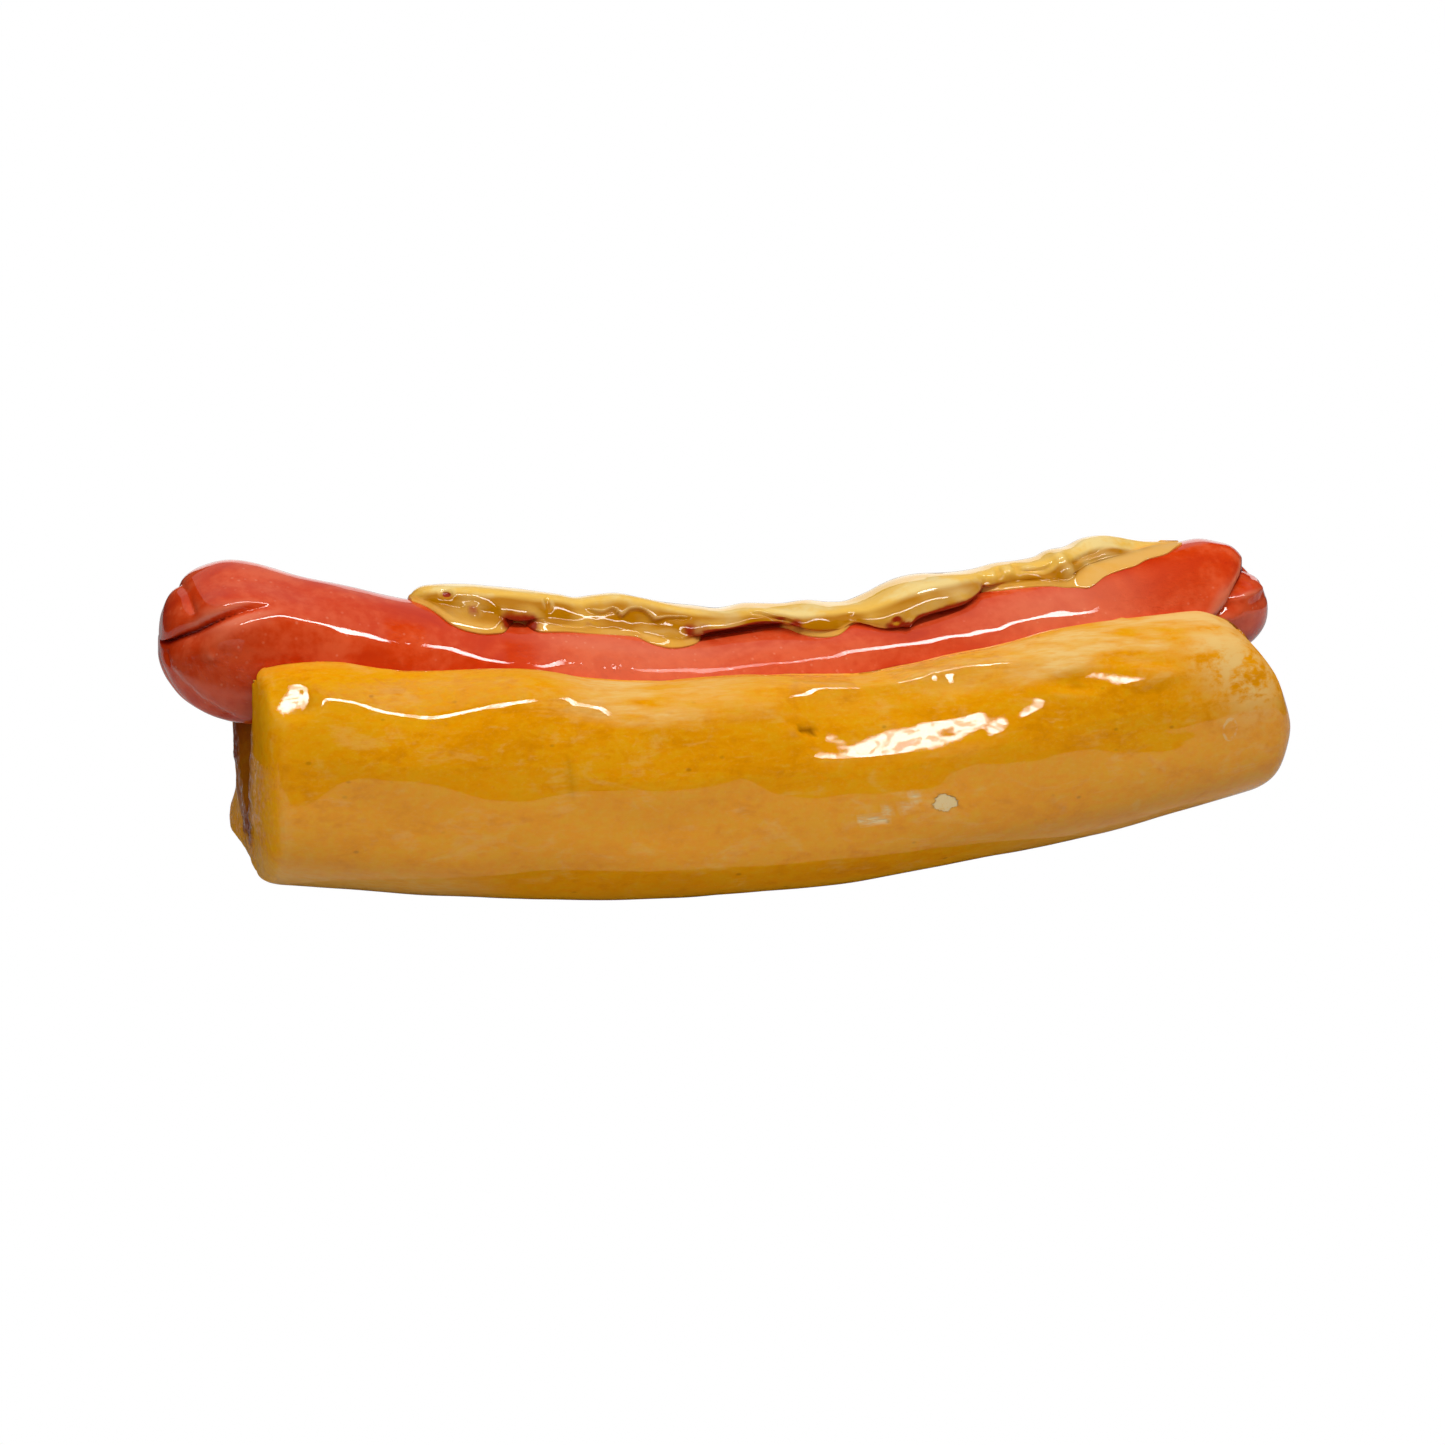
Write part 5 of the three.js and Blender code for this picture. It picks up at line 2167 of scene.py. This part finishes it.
@dataclass(frozen=True)
class Card:
    """A matt piece of the stage: a sheet, a round sheet, or a wall all round.

    Attributes:
        name: Its name.
        finish: Name of its material.
        grey: How bright it is.
        glow: How strongly it glows.
        place: Its middle, in metres.
        size: Its length and width in metres, or its radii where it is round.
        hidden: Kinds of rays that don't meet it.
        corners: How many corners a round one has.
        height: How high a wall is, in metres.
        tilt: Degrees that it is tipped up.
    """

    name: str
    finish: str
    grey: float
    glow: float
    place: Point
    size: Pair
    hidden: tuple[Ray, ...]
    corners: int = 0
    height: float = 0.0
    tilt: float = 0.0

    def _material(self) -> Material:
        """Makes a matt grey or white that may glow.

        Returns:
            The material.
        """
        nodes = Nodes(self.finish)
        body = nodes.add(
            "ShaderNodeBsdfPrincipled",
            {},
            **{
                "Base Color": (self.grey, self.grey, self.grey),
                "Roughness": 1.0,
                "Specular IOR Level": 0.0,
                "Emission Color": (1.0, 1.0, 1.0),
                "Emission Strength": self.glow,
            },
        )
        nodes.add("ShaderNodeOutputMaterial", {}, body.outputs[0])
        return nodes.material

    def build(self) -> Piece:
        """Adds the piece.

        Returns:
            The piece.
        """
        deselect_all()
        lies = {"location": self.place, "rotation": (math.radians(self.tilt), 0.0, 0.0)}
        if self.height:
            bpy.ops.mesh.primitive_cylinder_add(
                vertices=self.corners, depth=self.height, end_fill_type="NOTHING", **lies
            )
        elif self.corners:
            bpy.ops.mesh.primitive_circle_add(vertices=self.corners, fill_type="NGON", **lies)
        else:
            bpy.ops.mesh.primitive_plane_add(size=1.0, **lies)
        piece = bpy.context.object
        piece.name = self.name
        piece.scale = (*self.size, 1.0)
        bpy.ops.object.transform_apply(location=True, rotation=True, scale=True)
        piece.data.materials.append(self._material())
        for ray in self.hidden:
            setattr(piece, ray.value, False)
        return piece


@dataclass(frozen=True)
class SoftBox:
    """A soft box that faces the object.

    Attributes:
        name: Name of the lamp.
        azimuth: Degrees from the front towards the right.
        elevation: Degrees above the horizon.
        distance: Metres from the object.
        width: Width in metres.
        height: Height in metres.
        power: Power in watts.
        mirrored: Whether the glazes mirror it.
        only: The one piece that it lights, or nothing where it lights them all.
    """

    name: str
    azimuth: float
    elevation: float
    distance: float
    width: float
    height: float
    power: float
    mirrored: bool = True
    only: str = ""

    def build(self, target: Vector) -> None:
        """Adds the lamp.

        Args:
            target: What it is aimed at.
        """
        lamp = bpy.data.lights.new(self.name, "AREA")
        lamp.shape = "RECTANGLE"
        lamp.size, lamp.size_y, lamp.energy = self.width, self.height, self.power
        out = Vector(towards(self.azimuth, self.elevation))
        holder = bpy.data.objects.new(self.name, lamp)
        holder.location = target + out * self.distance
        holder.rotation_euler = out.to_track_quat("Z", "Y").to_euler()
        holder.visible_glossy = self.mirrored
        if self.only:
            lit = bpy.data.collections.new(self.name)
            lit.objects.link(bpy.data.objects[self.only])
            holder.light_linking.receiver_collection = lit
            holder.visible_diffuse = False
        bpy.context.scene.collection.objects.link(holder)


@dataclass
class Studio:
    """A pale table with a bright paper sweep behind it, soft boxes and the camera."""

    floor: Card = Card(
        "floor", "floor_white", 0.0, 1.0, (0.0, 0.0, -0.0004), (6.0, 6.0), SEEN_ONLY, 96
    )
    table: Card = Card(
        "table", "table_white", 0.53, 0.0, (0.05, 0.365, -0.0002), (0.9, 1.06),
        (Ray.CAMERA, Ray.SHADOW),
    )
    shade: Card = Card(
        "contact_shade", "shade_grey", 0.02, 0.0, (-0.012, -0.004, -0.0001), (0.1, 0.04),
        MIRRORED_ONLY, 64,
    )
    wall: Card = Card(
        "surround", "surround_white", 0.0, 1.0, (0.0, 0.0, 0.0), (5.88, 5.88), SEEN_ONLY, 96, 12.0
    )
    paper: Card = Card(
        "sweep", "sweep_white", 0.0, 1.2, (0.9, 2.6, 0.75), (2.6, 1.5), (Ray.CAMERA,), tilt=78.0
    )
    ceiling: Card = Card(
        "ceiling_card", "ceiling_white", 0.0, 0.4, (0.2, 1.17, 1.9), (3.6, 4.25), MIRRORED_ONLY
    )
    camera_place: Point = (-212.4, -673.5, 186.8)
    camera_aim: Point = (-6.5, 0.0, 37.1)
    focal_length: float = 74.74
    sensor_width: float = 36.0
    lamps_aim: Point = (0.0, 0.0, 0.05)
    room_glow: float = 0.03
    boxes: tuple[SoftBox, ...] = (
        SoftBox("strip", 15.0, 57.0, 1.5, 1.9, 0.13, 15.4),
        SoftBox("low_box", 28.0, 25.0, 1.5, 0.38, 0.3, 6.5, only="bun_clay"),
        SoftBox("wide_fill", -12.0, 28.0, 1.8, 1.5, 1.2, 6.1, mirrored=False),
        SoftBox("bounce", -4.0, -62.0, 0.8, 0.9, 0.5, 1.0, mirrored=False),
        SoftBox("left_fill", -62.0, 24.0, 1.7, 0.7, 0.6, 3.0, mirrored=False),
        SoftBox("ceiling", 150.0, 80.0, 1.6, 1.6, 1.4, 7.6, mirrored=False),
    )

    def _stage(self) -> None:
        """Adds what the view shows round the object, and what the glazes mirror."""
        floor, table, shade = (card.build() for card in (self.floor, self.table, self.shade))
        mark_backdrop(floor, table, shade)
        wall = self.wall.build()
        wall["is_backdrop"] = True
        paper, ceiling = self.paper.build(), self.ceiling.build()
        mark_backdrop(paper, ceiling)

    def _camera(self) -> None:
        """Adds the camera."""
        lens = bpy.data.cameras.new("camera")
        lens.lens, lens.sensor_width = self.focal_length, self.sensor_width
        camera = bpy.data.objects.new("camera", lens)
        camera.location = Vector(self.camera_place) * MM
        aim = Vector(self.camera_aim) * MM - camera.location
        camera.rotation_euler = aim.to_track_quat("-Z", "Y").to_euler()
        bpy.context.scene.collection.objects.link(camera)
        bpy.context.scene.camera = camera

    def build(self) -> None:
        """Builds the stage, the lamps and the camera."""
        self._stage()
        for box in self.boxes:
            box.build(Vector(self.lamps_aim))
        world = bpy.data.worlds.new("room")
        world.use_nodes = True
        back = world.node_tree.nodes["Background"]
        back.inputs["Color"].default_value = (1.0, 1.0, 1.0, 1.0)
        back.inputs["Strength"].default_value = self.room_glow
        bpy.context.scene.world = world
        bpy.context.scene.view_settings.view_transform = "Standard"
        self._camera()
        log.info("studio: %d soft boxes", len(self.boxes))


def main() -> None:
    """Builds the three pieces and the studio."""
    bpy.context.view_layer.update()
    line = SausageLine()
    Bun(line).build()
    Sausage(line).build()
    Mustard(line).build()
    Studio().build()


if __name__ == "__main__":
    main()
